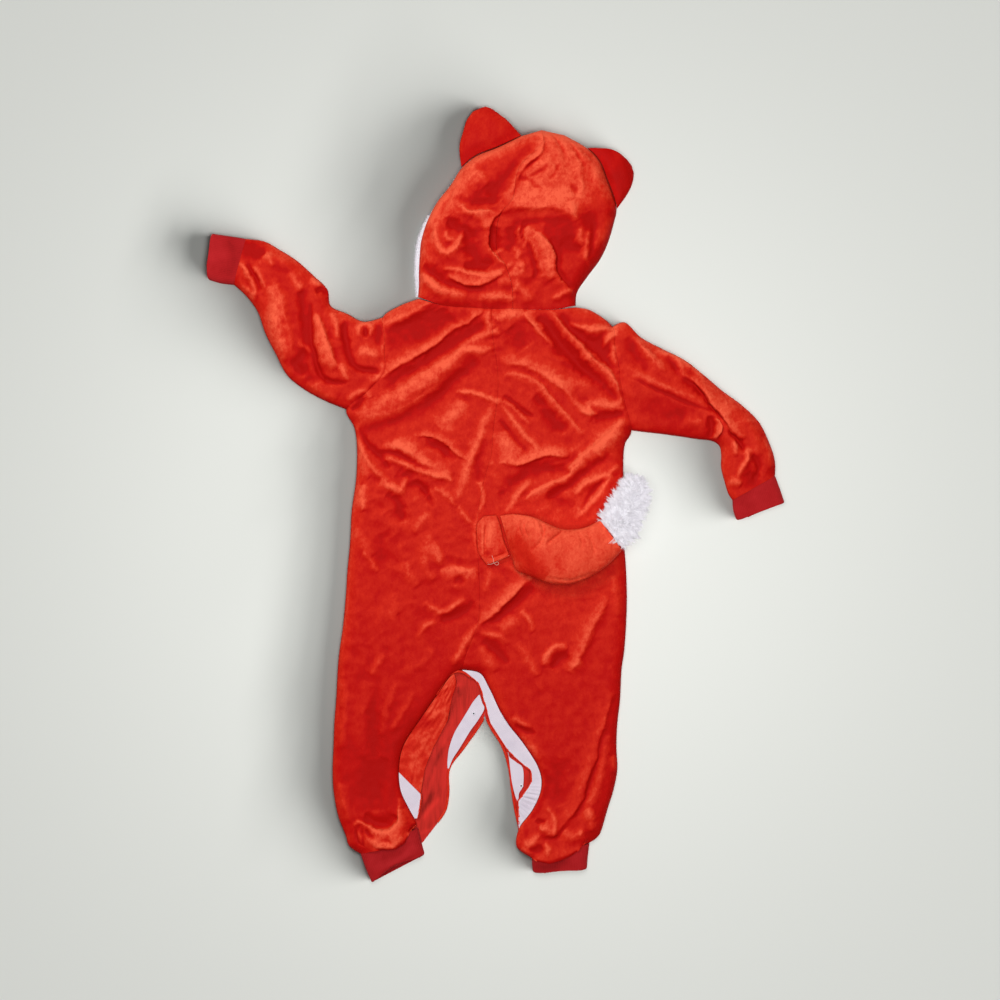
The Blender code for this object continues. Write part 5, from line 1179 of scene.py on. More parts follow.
def grid_object(name, places, nap=None, wrap=False, wall=0.0):
    """A sheet or, wrapped, a tube through a grid of places; a wall makes it a closed shell."""
    rows, cols = places.shape[:2]
    if wrap:
        cols -= 1
        places = places[:, :cols]
        nap = None if nap is None else nap[:, :cols]
    index = np.arange(rows * cols).reshape(rows, cols)
    right = np.roll(index, -1, axis=1) if wrap else index[:, 1:]
    here = index if wrap else index[:, :-1]
    faces = quads(here, right)
    verts = places.reshape(-1, 3)
    corners = verts[faces]
    normal = np.cross(corners[:, 2] - corners[:, 0], corners[:, 3] - corners[:, 1])
    middle = places.mean(axis=1)[faces[:, 0] // cols]
    outward = normal * (corners.mean(1) - middle) if wrap else normal[:, 2]
    if outward.sum() < 0:
        faces = faces[:, ::-1]
    piece = mesh_object(name, verts, faces, None if nap is None else {"nap": nap})
    if wall:
        shell = piece.modifiers.new("wall", "SOLIDIFY")
        shell.thickness = wall * MM
        shell.offset = -1.0
        settle(piece)
        with_heights(piece, lambda height: np.maximum(height, 0.0))
        piece.data.set_sharp_from_angle(angle=math.radians(62))
    return piece


def settle(piece):
    """Replace an object's mesh by what its modifiers make of it."""
    shown = piece.evaluated_get(bpy.context.evaluated_depsgraph_get())
    made = bpy.data.meshes.new_from_object(shown)
    piece.modifiers.clear()
    old = piece.data
    piece.data = made
    bpy.data.meshes.remove(old)
    made.name = piece.name


def strands(name, roots, ways, lengths, thickness, bends, sides=3, steps=4):
    """Many tapering hairs as one mesh, from their roots, unit ways and the bends of their tips."""
    count = len(roots)
    share = np.linspace(0, 1, steps + 1)[None, :, None]
    spine = roots[:, None] + ways[:, None] * lengths[:, None, None] * share
    spine = spine + bends[:, None] * share ** 2
    side = np.cross(ways, (0.3, 0.5, 0.81))
    side /= np.linalg.norm(side, axis=1)[:, None]
    other = np.cross(ways, side)
    turn = 2 * np.pi * np.arange(sides) / sides
    ring = np.cos(turn)[None, :, None] * side[:, None] + np.sin(turn)[None, :, None] * other[:, None]
    taper = thickness * np.sqrt(1 - share[..., None] ** 2 * 0.96)
    verts = spine[:, :, None] + taper * ring[:, None]
    index = np.arange(count * (steps + 1) * sides).reshape(count, steps + 1, sides)
    faces = quads(index, np.roll(index, -1, axis=2))
    tip = np.broadcast_to(np.repeat(share, sides, axis=2), index.shape)
    return mesh_object(name, verts.reshape(-1, 3), faces, {"tip": tip})


def beads(name, centres, ways, size, thickness):
    """Short round-ended stitches as one mesh, each along its way."""
    half = ways * size / 2
    share = np.array([0.0, 0.12, 0.5, 0.88, 1.0])
    swell = np.array([0.15, 0.8, 1.0, 0.8, 0.15]) * thickness
    up = np.array([0.0, 0.0, 1.0])
    side = np.cross(ways, up)
    side /= np.maximum(np.linalg.norm(side, axis=1)[:, None], 1e-6)
    turn = 2 * np.pi * np.arange(5) / 5
    ring = np.cos(turn)[None, :, None] * side[:, None] + np.sin(turn)[None, :, None] * up
    spine = (centres - half)[:, None] + 2 * half[:, None] * share[None, :, None]
    verts = spine[:, :, None] + swell[None, :, None, None] * ring[:, None]
    index = np.arange(len(centres) * 25).reshape(len(centres), 5, 5)
    faces = quads(index, np.roll(index, -1, axis=2))
    return mesh_object(name, verts.reshape(-1, 3), faces)


def stitched(name, line, step, size=2.2, thickness=0.28):
    """A row of stitches along a line of places."""
    run = np.linalg.norm(np.diff(line, axis=0), axis=1)
    along = np.concatenate([[0], np.cumsum(run)])
    at = np.arange(step / 2, along[-1], step)
    centres = np.column_stack([np.interp(at, along, line[:, axis]) for axis in range(3)])
    ahead = np.column_stack([np.interp(at + 0.5, along, line[:, axis]) for axis in range(3)])
    ways = ahead - centres
    ways /= np.maximum(np.linalg.norm(ways, axis=1)[:, None], 1e-6)
    return beads(name, centres, ways, size, thickness)


# Shaders -----------------------------------------------------------------------------------------

class Wire:
    """A node's output that takes part in sums; each operator adds a Math node."""

    def __init__(self, finish, socket):
        self.finish = finish
        self.socket = socket

    def _math(self, operation, first, second=0.0, third=0.0):
        values = {0: first, 1: second, 2: third}
        return self.finish.add("ShaderNodeMath", {"operation": operation}, values)

    def __add__(self, other):
        return self._math("ADD", self, other)

    __radd__ = __add__

    def __sub__(self, other):
        return self._math("SUBTRACT", self, other)

    def __rsub__(self, other):
        return self._math("SUBTRACT", other, self)

    def __mul__(self, other):
        return self._math("MULTIPLY", self, other)

    __rmul__ = __mul__

    def __truediv__(self, other):
        return self._math("DIVIDE", self, other)

    def __pow__(self, other):
        return self._math("POWER", self, other)

    def sine(self):
        return self._math("SINE", self)

    def clamped(self):
        return self.finish.add("ShaderNodeClamp", {}, {"Value": self})


class Finish:
    """A material and the one method that adds nodes to it."""

    def __init__(self, name, **constants):
        self.material = bpy.data.materials.new(name)
        self.material.use_nodes = True
        self.tree = self.material.node_tree
        self.shader = self.tree.nodes["Principled BSDF"]
        for socket, value in constants.items():
            self.shader.inputs[socket.replace("_", " ")].default_value = value

    def put(self, socket, value):
        if isinstance(value, Wire):
            self.tree.links.new(value.socket, socket)
        else:
            socket.default_value = value

    def add(self, kind, settings, values, output=0):
        """Add a node: its settings first, then the values or wires of its sockets."""
        node = self.tree.nodes.new(kind)
        for key, value in settings.items():
            if key == "stops":
                ramp = node.color_ramp.elements
                while len(ramp) < len(value):
                    ramp.new(0.5)
                for element, (position, shade) in zip(ramp, value):
                    element.position = position
                    element.color = (*shade, 1.0)
            else:
                setattr(node, key, value)
        for key, value in values.items():
            self.put(node.inputs[key], value)
        return Wire(self, node.outputs[output])

    def place(self):
        return self.add("ShaderNodeTexCoord", {}, {}, "Object")

    def number(self, name):
        return self.add("ShaderNodeAttribute", {"attribute_name": name}, {}, "Fac")

    def lumps(self, size, detail=2.0, stretch=(1, 1, 1), roughness=0.5, distortion=0.0):
        """Noise from 0 to 1 with lumps about size metres across."""
        where = self.add("ShaderNodeMapping", {}, {"Vector": self.place(), "Scale": stretch})
        return self.add("ShaderNodeTexNoise", {}, {
            "Vector": where, "Scale": 1 / size, "Detail": detail, "Roughness": roughness,
            "Distortion": distortion})

    def ramp(self, amount, stops):
        return self.add("ShaderNodeValToRGB", {"stops": stops}, {"Fac": amount}, "Color")

    def mix(self, amount, first, second):
        return self.add("ShaderNodeMix", {"data_type": "RGBA"}, {0: amount, 6: first, 7: second}, 2)

    def bump(self, height, strength, distance_mm, below=None):
        values = {"Height": height, "Strength": strength, "Distance": distance_mm * MM}
        if below is not None:
            values["Normal"] = below
        return self.add("ShaderNodeBump", {}, values)

    def finish(self, colour_wire, roughness=None, normal=None):
        self.put(self.shader.inputs["Base Color"], colour_wire)
        if roughness is not None:
            self.put(self.shader.inputs["Roughness"], roughness)
        if normal is not None:
            self.put(self.shader.inputs["Normal"], normal)
        return self.material


def tinted(shade, share):
    """A colour made darker or lighter by a share."""
    return tuple(min(share * part, 1.0) for part in shade)


def velour(name, brightness=0.0, contrast=1.0, fuzz=1.0):
    """Short shiny pile: its colour runs from deep red to bright orange with the painted light and shade
    that each point carries, broken up by random mottling.
    """
    shades = bpy.context.scene.onesie_colours
    cloth = Finish(name, Sheen_Weight=0.07, Sheen_Roughness=0.3, Sheen_Tint=(1.0, 0.30, 0.16, 1.0),
                   Specular_IOR_Level=0.03)
    nap = cloth.number("nap")
    mottle = cloth.lumps(0.012, 3, (1.0, 0.6, 1.0), 0.6, 0.6) - 0.5
    fleck = cloth.lumps(0.0034, 3, (1.0, 0.7, 1.0), 0.7, 0.5) - 0.5
    pile = cloth.lumps(0.0009, 2, (1.0, 0.7, 1.0), 0.7)
    level = (nap - PAINTED_LIGHT_BASE) * (contrast + fleck * (1.5 * fuzz)) + (PAINTED_LIGHT_BASE + brightness)
    level = level + mottle * (0.36 * fuzz) + fleck * (0.34 * fuzz) + (pile - 0.5) * 0.12
    stops = [(0.0, tinted(shades.deep, 0.85)), (0.14, shades.deep),
             (0.42, shades.body), (0.95, shades.bright)]
    tuft = cloth.bump(pile + fleck * 1.5, 0.5, 0.5)
    return cloth.finish(cloth.ramp(level.clamped(), stops), 0.52 + mottle * 0.2, tuft)


def knit_back(name):
    """The velour's knitted inside: plain red with fine upright courses, painted lighter on its raised
    folds and darker in their troughs.
    """
    shade = bpy.context.scene.onesie_colours.lining
    cloth = Finish(name, Roughness=0.85, Sheen_Weight=0.06, Specular_IOR_Level=0.05)
    streak = cloth.lumps(0.0035, 3, (1.0, 0.12, 1.0), 0.6, 0.3)
    blot = cloth.lumps(0.03, 2)
    level = (streak * 0.75 + blot * 0.5 - 0.12 + cloth.number("nap")).clamped()
    loops = cloth.lumps(0.0009, 1, (1.0, 0.6, 1.0))
    stops = [(0.15, tinted(shade, 0.50)), (0.5, tuple(shade)), (0.9, tinted(shade, 1.35))]
    return cloth.finish(cloth.ramp(level, stops), 0.85, cloth.bump(loops + streak, 0.5, 0.4))


def rib_knit(name, share):
    """Matt rib knit with a fine stitch and random blotches, its furrows painted darker as shade."""
    shade = tinted(bpy.context.scene.onesie_colours.rib, share)
    cloth = Finish(name, Roughness=0.8, Sheen_Weight=0.1, Sheen_Roughness=0.5,
                   Sheen_Tint=(1.0, 0.30, 0.30, 1.0), Specular_IOR_Level=0.05)
    rib = cloth.number("rib")
    blot = cloth.lumps(0.02, 3) - 0.5
    stitch = cloth.lumps(0.0011, 2)
    # Painted shade: the rib attribute darkens the furrows and carries the cuffs' painted shadows and
    # lighter bands
    level = (rib * 0.16 + 0.54 + blot * 0.7 + (stitch - 0.5) * 0.35).clamped()
    light = (min(1.35 * shade[0], 1), 2.0 * shade[1], 2.0 * shade[2])
    stops = [(0.1, tinted(shade, 0.55)), (0.5, shade), (0.95, light)]
    return cloth.finish(cloth.ramp(level, stops), 0.8, cloth.bump(stitch, 0.6, 0.35))


def twill_tape(name):
    """Cotton twill: fine slanting ribs, very slightly soiled."""
    shade = bpy.context.scene.onesie_colours.tape
    cloth = Finish(name, Roughness=0.85, Sheen_Weight=0.1, Specular_IOR_Level=0.2)
    blot = cloth.lumps(0.012, 3) - 0.5
    weave = cloth.add("ShaderNodeTexWave", {"wave_type": "BANDS", "bands_direction": "DIAGONAL"}, {
        "Vector": cloth.place(), "Scale": 330.0, "Distortion": 0.6, "Detail": 1.0})
    level = (0.55 + blot * 0.5 + (weave - 0.5) * 0.22).clamped()
    dark = (0.72 * shade[0], 0.70 * shade[1], 0.75 * shade[2])
    return cloth.finish(cloth.ramp(level, [(0.1, dark), (0.7, tuple(shade))]), 0.85,
                        cloth.bump(weave, 0.6, 0.25))


def fur_fibre(name, shadow=0.86):
    """White fibre, painted greyer at its root as shade, and glowing a little so that it shows whiter
    than its lighting makes it.
    """
    shade = bpy.context.scene.onesie_colours.fur
    # Painted light: the fibre glows though it is no lamp
    cloth = Finish(name, Roughness=0.6, Sheen_Weight=0.4, Sheen_Roughness=0.4, Specular_IOR_Level=0.3,
                   Emission_Color=(0.96, 0.92, 1.0, 1.0), Emission_Strength=0.3)
    level = (cloth.number("tip") + (cloth.lumps(0.006, 2) - 0.5) * 0.8).clamped()
    stops = [(0.0, tinted(shade, 0.62 * shadow)), (0.6, tinted(shade, 0.66))]
    return cloth.finish(cloth.ramp(level, stops), 0.6)


def plain(name, shade, roughness, size, depth):
    """One dye with a little mottling and a fine surface."""
    cloth = Finish(name, Roughness=roughness, Specular_IOR_Level=0.3)
    blot = cloth.lumps(size, 3)
    stops = [(0.3, tinted(shade, 1 - depth)), (0.7, tuple(shade))]
    return cloth.finish(cloth.ramp(blot, stops), roughness, cloth.bump(blot, 0.3, 0.2))


def dress(piece, material, slot, *nodes):
    """Give a piece its material, and let it ride on the body in place of its solids."""
    piece.data.materials.clear()
    piece.data.materials.append(material)
    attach(piece, "root")
    if nodes:
        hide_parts(*nodes)
    return piece


def once(name, make, *values):
    """A material that several operators share."""
    name = "onesie_" + name
    return bpy.data.materials.get(name) or make(name, *values)


def velour_piece(name, places, nap, **form):
    """A piece of the garment's velour, in place of the solid of the same name."""
    piece = grid_object(name + "_velour", places, nap, **form)
    return dress(piece, once("velour", velour), "velour", name)


# Pieces ------------------------------------------------------------------------------------------

def grid_step():
    """Distance between neighbouring points of the upper cloth, in millimetres."""
    return bpy.context.scene.onesie_cloth.spacing / MM


class ONESIE_OT_backs(bpy.types.Operator):
    """Make the two back panels, each body and leg in one"""
    bl_idname = "onesie.backs"
    bl_label = "Backs"

    def execute(self, context):
        shares = one_edge(int(PANEL_WIDTH / grid_step()))
        for name, side, edge, cut in (("back_left", LEFT_SIDE, BACK_OPEN_LEFT, 0.088),
                                      ("back_right", RIGHT_SIDE, BACK_OPEN_RIGHT, 0.092)):
            plan = body_plan(side, BACK_SEAM, edge, shares, grid_step())
            puff = np.interp(shares, *zip(*ANKLE_PUFFS[name]))
            near = np.clip(1 - np.arange(len(plan))[::-1] * grid_step() / ANKLE_REACH, 0, 1)
            down = (plan[-1] - plan[-6]).mean(axis=0)
            plan += (near[:, None] ** 1.5 * puff)[..., None] * down / np.linalg.norm(down)
            places, sheen = upper_cloth(plan)
            lap = near[:, None] * np.clip(puff, 0, FULL_LAP) / FULL_LAP
            places[..., 2] += LAP_RISE * lap ** 0.7 - LAP_DROP * lap ** 12
            # Painted highlight on the puff that laps over the cuff, and painted shadow under its lip
            sheen += 0.2 * lap ** 2 - 0.3 * lap ** 12
            piece = velour_piece(name, places, painted_light_of(places, sheen), wall=WALL)
        return {"FINISHED"}


class ONESIE_OT_fronts(bpy.types.Operator):
    """Make the two front panels, which lie flat under the backs with their inside up"""
    bl_idname = "onesie.fronts"
    bl_label = "Fronts"

    def execute(self, context):
        for name, side, edge in (("front_left", LEFT_SIDE, FRONT_LEFT),
                                 ("front_right", RIGHT_SIDE, FRONT_RIGHT)):
            shares = 1 - one_edge(FRONT_COLUMNS)[::-1]
            plan = body_plan(side, FRONT_SEAM, edge[FRONT_JOINED:], shares, FRONT_SPACING)
            flat = plan.reshape(-1, 2)
            ripple = 0.14 * grain(flat * (1.0, 0.25), 6, 30) + 0.16 * grain(flat, 16, 31)
            folds = relief(flat, INSIDE_FOLDS)
            ripple += folds
            places = with_height(plan, FRONT_LEVEL + ripple.reshape(plan.shape[:2]))
            # Painted light: raised folds and ripples of the inside are painted brighter, their troughs
            # darker
            nap = 0.2 * folds + 0.15 * ripple
            piece = grid_object(name + "_inside", places, nap, wall=FRONT_WALL)
            with_heights(piece, lambda height: np.where(height < FRONT_FLOOR * MM, 0.0, height))
            dress(piece, once("velour_inside", knit_back), "velour_inside", name)
        return {"FINISHED"}


def tube_of(top, floor_level):
    """Close rows of upper places into rings with a floor under them."""
    edge = top[:, [0, -1]]
    edge[..., 2] = SIDE_EDGE
    back = with_height(top[:, -2:0:-1, :2], 0.0)
    back[..., 2] = floor_level[:, -2:0:-1]
    return np.concatenate([edge[:, :1], top[:, 1:-1], edge[:, 1:], back, edge[:, :1]], axis=1)


def underside(plan):
    """The lower half of a tube: flat on the surface, rounding up to its two edges."""
    width = np.linalg.norm(plan[:, -1] - plan[:, 0], axis=1)[:, None]
    along = np.linalg.norm(plan - plan[:, :1], axis=2)
    return SIDE_EDGE * (1 - roundness(np.minimum(along, width - along), 3.0))


class ONESIE_OT_sleeves(bpy.types.Operator):
    """Make the two sleeves, from armhole to wrist"""
    bl_idname = "onesie.sleeves"
    bl_label = "Sleeves"

    def execute(self, context):
        for name, table, side in (("sleeve_left", LEFT_SLEEVE, LEFT_SIDE),
                                  ("sleeve_right", RIGHT_SLEEVE, RIGHT_SIDE)):
            start, end, rows = between(columns(table, 0), columns(table, 2), grid_step())
            shares = both_edges(int(SLEEVE_WIDTH / grid_step()))
            plan = spread(start, end, shares)
            armhole = smooth(side, SHOULDER_ROW + (UNDERARM_ROW - SHOULDER_ROW) * shares)
            plan += np.clip(1 - rows / 2, 0, 1)[:, None, None] * (armhole - plan[0])[None]
            plan = draw_back(draw_back(plan, 0, 1), -1, -2)
            top, sheen = upper_cloth(plan)
            nap = painted_light_of(top, sheen)
            places = tube_of(top, underside(plan))
            below = np.full((len(nap), places.shape[1] - nap.shape[1]), 0.25)
            piece = velour_piece(name, places, np.hstack([nap, below]), wrap=True, wall=WALL)
        return {"FINISHED"}


class ONESIE_OT_cuffs(bpy.types.Operator):
    """Make the four ribbed cuffs as open tubes"""
    bl_idname = "onesie.cuffs"
    bl_label = "Cuffs"

    def execute(self, context):
        cloth = context.scene.onesie_cloth
        depth, pitch = cloth.rib_depth / MM, cloth.rib_pitch / MM
        for name, table in CUFFS.items():
            rows = np.linspace(0, len(table) - 1, 24) ** 0.8 * (len(table) - 1) ** 0.2
            shares = both_edges(CUFF_COLUMNS)
            plan = spread(smooth(columns(table, 0), rows), smooth(columns(table, 2), rows), shares)
            to_mouth = (1 - rows / rows[-1]) * np.linalg.norm(plan[-1] - plan[0], axis=1).mean()
            insets = []
            for radius in CUFF_CORNERS[name]:
                short = np.clip(radius - to_mouth, 0, radius)
                insets.append((radius - np.sqrt(radius ** 2 - short ** 2))[:, None])
            plan = spread(plan[:, 0], plan[:, -1], shares, insets)
            width = np.linalg.norm(plan[:, -1] - plan[:, 0], axis=1)[:, None]
            inside = np.minimum(shares, 1 - shares)[None, :] * width
            wave = 0.5 + 0.5 * np.cos(2 * np.pi * shares * round(float(width.mean()) / pitch))
            flat = plan.reshape(-1, 2)
            soft = (1.1 * grain(flat, 26, 40) + 0.35 * grain(flat, 9, 41)).reshape(plan.shape[:2])
            lift = CUFF_LIFT * roundness(inside, CUFF_ROLL)
            rise = lift + roundness(inside, CUFF_ROLL) * (soft - depth * (1 - wave)[None, :])
            top = with_height(plan, SIDE_EDGE + rise)
            places = tube_of(top, underside(plan))
            arch = np.sin(np.pi * shares) * (rows[:, None] / rows[-1]) ** 3 * CUFF_MOUTHS[name]
            places[:, :len(shares), :2] += arch[..., None] * (plan[0] - plan[-1]) / CUFF_LENGTH
            # Painted light: furrows between ribs are painted darker, and the table adds painted shadows
            # and lighter bands
            rib = wave + relief(flat, CUFF_PAINTED_LIGHT.get(name, ())).reshape(plan.shape[:2])
            rib = np.hstack([rib, rib[:, 1:-1][:, ::-1], rib[:, :1]])
            piece = grid_object(name + "_rib", places, wrap=True, wall=WALL)
            layer = piece.data.attributes.new("rib", "FLOAT", "POINT")
            values = np.resize(rib[:, :-1].ravel(), len(piece.data.vertices))
            layer.data.foreach_set("value", values.astype(np.float32))
            knit, share = ("rib_ankle", 0.78) if name.startswith("ankle") else ("rib_wrist", 0.85)
            dress(piece, once(knit, rib_knit, share), "rib_knit", name)
            reach = float(np.linalg.norm(plan[-1] - plan[0], axis=1).mean()) * MM
        return {"FINISHED"}


class ONESIE_OT_hood(bpy.types.Operator):
    """Make the hood's two halves"""
    bl_idname = "onesie.hood"
    bl_label = "Hood"

    def execute(self, context):
        last = len(HOOD) - 1
        shares = one_edge(int(HOOD_WIDTH / grid_step()))
        for name, outer, area in (("hood_left", HOOD_LEFT, 0.021), ("hood_right", HOOD_RIGHT, 0.024)):
            start, end, rows = between(outer, HOOD_SEAM, grid_step())
            plan = spread(start, end, shares, (0.0, SEAM_GAP))
            places, sheen = upper_cloth(to_neck(plan, np.clip(rows - last + 1, 0, 1), 1))
            piece = velour_piece(name, places, painted_light_of(places, sheen), wall=WALL)
        return {"FINISHED"}


class ONESIE_OT_face_trim(bpy.types.Operator):
    """Make the plush band round the face, which peeps out under the hood's left edge"""
    bl_idname = "onesie.face_trim"
    bl_label = "Face trim"

    def execute(self, context):
        fur = context.scene.onesie_fur
        line = HOOD_OUTLINE
        picks = np.linspace(1, len(line) - 2, 261)
        outer = smooth(line, picks)
        to_centre = np.array(FACE_CENTRE) - outer
        inner = outer + TRIM_DEPTH * to_centre
        inward = to_centre / np.linalg.norm(to_centre, axis=1)[:, None]
        left = np.clip(1 - picks / (TRIM_LEFT * len(line)), 0, 1)
        outer += inward * (TRIM_TUCK - (TRIM_TUCK + TRIM_BULGE) * np.sqrt(np.sin(np.pi * left)))[:, None]
        plan = spread(outer, inner, one_edge(28))
        places = with_height(plan, WALL)
        piece = grid_object("hood_trim_plush", places, wall=WALL)
        dress(piece, once("plush", fur_fibre, 0.9), "white_plush", "hood_trim")
        pick = np.random.default_rng(PLUSH_SEED)
        count = fur.plush_hairs
        at = pick.integers(0, 110, count)
        share = pick.random(count) ** 1.6 * 0.16
        root = np.column_stack([outer[at] + share[:, None] * (inner - outer)[at], np.full(count, WALL)])
        way = np.column_stack([-inward[at] * 0.8, 0.55 + 0.3 * pick.random(count)])
        way += 0.35 * pick.normal(size=(count, 3))
        way[:, 2] = np.abs(way[:, 2])
        way /= np.linalg.norm(way, axis=1)[:, None]
        size = fur.plush / MM * (0.6 + 0.5 * pick.random(count)) * (0.5 + 0.5 * (left[at] > 0.02))
        pile = strands("hood_trim_pile", root, way, size, 0.16, 0.6 * pick.normal(size=(count, 3)), 3, 2)
        dress(pile, once("plush", fur_fibre, 0.9), "white_plush")
        return {"FINISHED"}


def padded_painted_light(places, base, slope):
    """How bright a stuffed piece is painted by its slope."""
    normal = np.cross(np.gradient(places, axis=1), np.gradient(places, axis=0))
    outward = places - places[:, :-1].mean(axis=1, keepdims=True)
    normal *= np.sign((normal * outward).sum())
    normal /= np.maximum(np.linalg.norm(normal, axis=2, keepdims=True), 1e-9)
    # Painted light: slopes facing the upper left are painted brighter and those facing away darker
    return base + slope * (normal[..., :2] @ PAINTED_LIGHT_WAY)


class ONESIE_OT_ears(bpy.types.Operator):
    """Make the two sewn and turned ears"""
    bl_idname = "onesie.ears"
    bl_label = "Ears"

    def execute(self, context):
        # The right ear is painted darker than the left, as painted shade on the side away from the upper
        # left
        for name, side, ear_painted_light in (("ear_left", HOOD_LEFT, 0.2), ("ear_right", HOOD_RIGHT, 0.07)):
            sewn = smooth(side, np.linspace(*EAR_ROWS[name], 49))
            places = embossed(padded_rings(EARS[name], on_floor, 56, 64, base=sewn), lambda flat: (
                1.0 * grain(flat, 20, 50) + 0.35 * grain(flat, 8, 51)), above=4)
            nap = padded_painted_light(places, ear_painted_light, 0.22)
            nap += 0.12 * grain(places.reshape(-1, 3), 22, 52).reshape(nap.shape)
            piece = velour_piece(name, places, nap, wrap=True)
        return {"FINISHED"}


class ONESIE_OT_tail(bpy.types.Operator):
    """Make the stuffed tail"""
    bl_idname = "onesie.tail"
    bl_label = "Tail"

    def execute(self, context):
        places = embossed(padded_rings(TAIL, on_back, 130, 130, crown=0.7), lambda flat: (
            relief(flat, TAIL_FOLDS) + 1.1 * grain(flat, 24, 60) + 0.5 * grain(flat, 9, 61)
            + 0.2 * grain(flat, 4, 62)), above=TAIL_REST + 9)
        # Painted light: slopes facing the upper left brighter, then the table's painted shadows and
        # highlights, and random brightness
        nap = padded_painted_light(places, 0.73, 0.24)
        points = places[..., :2].reshape(-1, 2)
        brightness_shift = relief(points, TAIL_PAINTED_LIGHT)
        brightness_shift += 0.12 * grain(points, 12, 63)
        piece = grid_object("tail_velour", places, nap + brightness_shift.reshape(nap.shape), wrap=True)
        dress(piece, once("tail_velour", velour, 0.02, 0.85, 0.8), "velour", "tail_body")
        return {"FINISHED"}


class ONESIE_OT_tail_tip(bpy.types.Operator):
    """Make the tail's long fur over a soft core"""
    bl_idname = "onesie.tail_tip"
    bl_label = "Tail tip"

    def roots(self, core, spine, pick, count):
        """Random places on the core, their outward ways and how far along the core they are."""
        row = pick.random(count) * (len(core) - 4) + 1.5
        col = (pick.random(count) * (core.shape[1] - 1)).astype(int)
        here, there = core[row.astype(int), col], core[row.astype(int) + 1, col + 1]
        root = here + pick.random((count, 1)) * (there - here)
        out = root - spine[row.astype(int)]
        out /= np.maximum(np.linalg.norm(out, axis=1)[:, None], 1e-6)
        return root, out, (row / len(core))[:, None]

    def execute(self, context):
        fur = context.scene.onesie_fur
        core = padded_rings(TAIL_TIP, off_the_side, 40, 48, shrink=0.2)
        core[..., :2] = core[..., :2] * 0.94 + 0.06 * np.array(TIP_MIDDLE)
        core = embossed(core, lambda flat: 1.2 * grain(flat, 9, 70))
        piece = grid_object("tail_tip_core", core, wrap=True)
        dress(piece, once("fur", fur_fibre), "white_fur", "tail_tip")
        pick = np.random.default_rng(FUR_SEED)
        spine = core.mean(axis=1)
        along = (spine[-2] - spine[1]) / np.linalg.norm(spine[-2] - spine[1])
        tuft, tuft_out, tuft_share = self.roots(core, spine, pick, fur.tufts)
        tuft_way = tuft_out * 0.9 + along * (0.1 + 0.6 * tuft_share)
        tuft_way = tuft_way + 0.35 * pick.normal(size=tuft.shape)
        tuft_way /= np.linalg.norm(tuft_way, axis=1)[:, None]
        tuft_size = (0.75 + 0.35 * pick.random((len(tuft), 1))) * (1 - 0.6 * tuft_share ** 3)
        tuft_tip = tuft + tuft_way * fur.hair / MM * tuft_size
        tuft_tip[:, 2] = np.maximum(tuft_tip[:, 2] - 2.0, LOWEST_HAIR)
        count = fur.hairs
        root, out, share = self.roots(core, spine, pick, count)
        near = np.concatenate([((part[:, None] - tuft[None]) ** 2).sum(2).argmin(1)
                               for part in np.array_split(root, 10)])
        way = out + along * (0.1 + 0.5 * share) + 0.3 * pick.normal(size=root.shape)
        way /= np.linalg.norm(way, axis=1)[:, None]
        size = np.linalg.norm(tuft_tip[near] - root, axis=1) * (0.7 + 0.35 * pick.random(count))
        size = np.minimum(size, fur.hair / MM * 1.15) * (1 - 0.5 * share[:, 0] ** 3)
        goal = root + (tuft_tip[near] - root) * (0.8 + 0.2 * pick.random((count, 1)))
        goal += 0.9 * pick.normal(size=root.shape)
        bend = goal - (root + way * size[:, None])
        bend[:, 2] += np.maximum(LOWEST_HAIR - goal[:, 2], 0)
        pile = strands("tail_tip_fur", root, way, size, 0.4, bend, 3, 3)
        dress(pile, once("fur", fur_fibre), "white_fur")
        return {"FINISHED"}


class ONESIE_OT_tail_tab(bpy.types.Operator):
    """Make the tab that covers the tail's root, with its hem and loose thread"""
    bl_idname = "onesie.tail_tab"
    bl_label = "Tail tab"

    def execute(self, context):
        places = embossed(padded_rings(TAIL_TAB, on_back, 90, 90, crown=0.4), lambda flat: (
            0.5 * grain(flat * (1.0, 0.35, 1.0), 5, 80) + 0.25 * grain(flat, 3, 81)
            + relief(flat, TAB_FOLDS)), above=TAIL_REST + 3)
        # Painted light: slopes facing the upper left brighter, then the table's painted highlights and
        # shade
        nap = padded_painted_light(places, 0.5, 0.2)
        nap += relief(places.reshape(-1, 3), TAB_PAINTED_LIGHT).reshape(nap.shape)
        piece = velour_piece("tail_tab", places, nap, wrap=True)
        hem = fine(TAB_HEM)
        line = np.column_stack([hem, np.full(len(hem), TAIL_REST + 5.0)])
        thread = once("red_thread", plain, (0.80, 0.20, 0.13), 0.6, 0.002, 0.2)
        dress(stitched("tail_tab_hem", line, 3.1), thread, "velour")
        knot = bpy.data.curves.new("thread_knot", "CURVE")
        knot.dimensions = "3D"
        knot.bevel_depth = 0.2 * MM
        knot.bevel_resolution = 2
        knot.use_fill_caps = True
        turns = 60
        bent = smooth(LOOSE_THREAD, np.linspace(0, len(LOOSE_THREAD) - 1, turns))
        path = np.column_stack([bent, TAIL_REST + 5.6 + 0.6 * np.sin(np.linspace(0, 9, turns))])
        spline = knot.splines.new("POLY")
        spline.points.add(turns - 1)
        spline.points.foreach_set("co", np.column_stack([path * MM, np.ones(turns)]).ravel())
        piece = placed("thread_knot", knot)
        white = once("loose_thread", plain, (0.84, 0.45, 0.36), 0.6, 0.002, 0.1)
        knot.materials.append(white)
        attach(piece, "root")
        return {"FINISHED"}


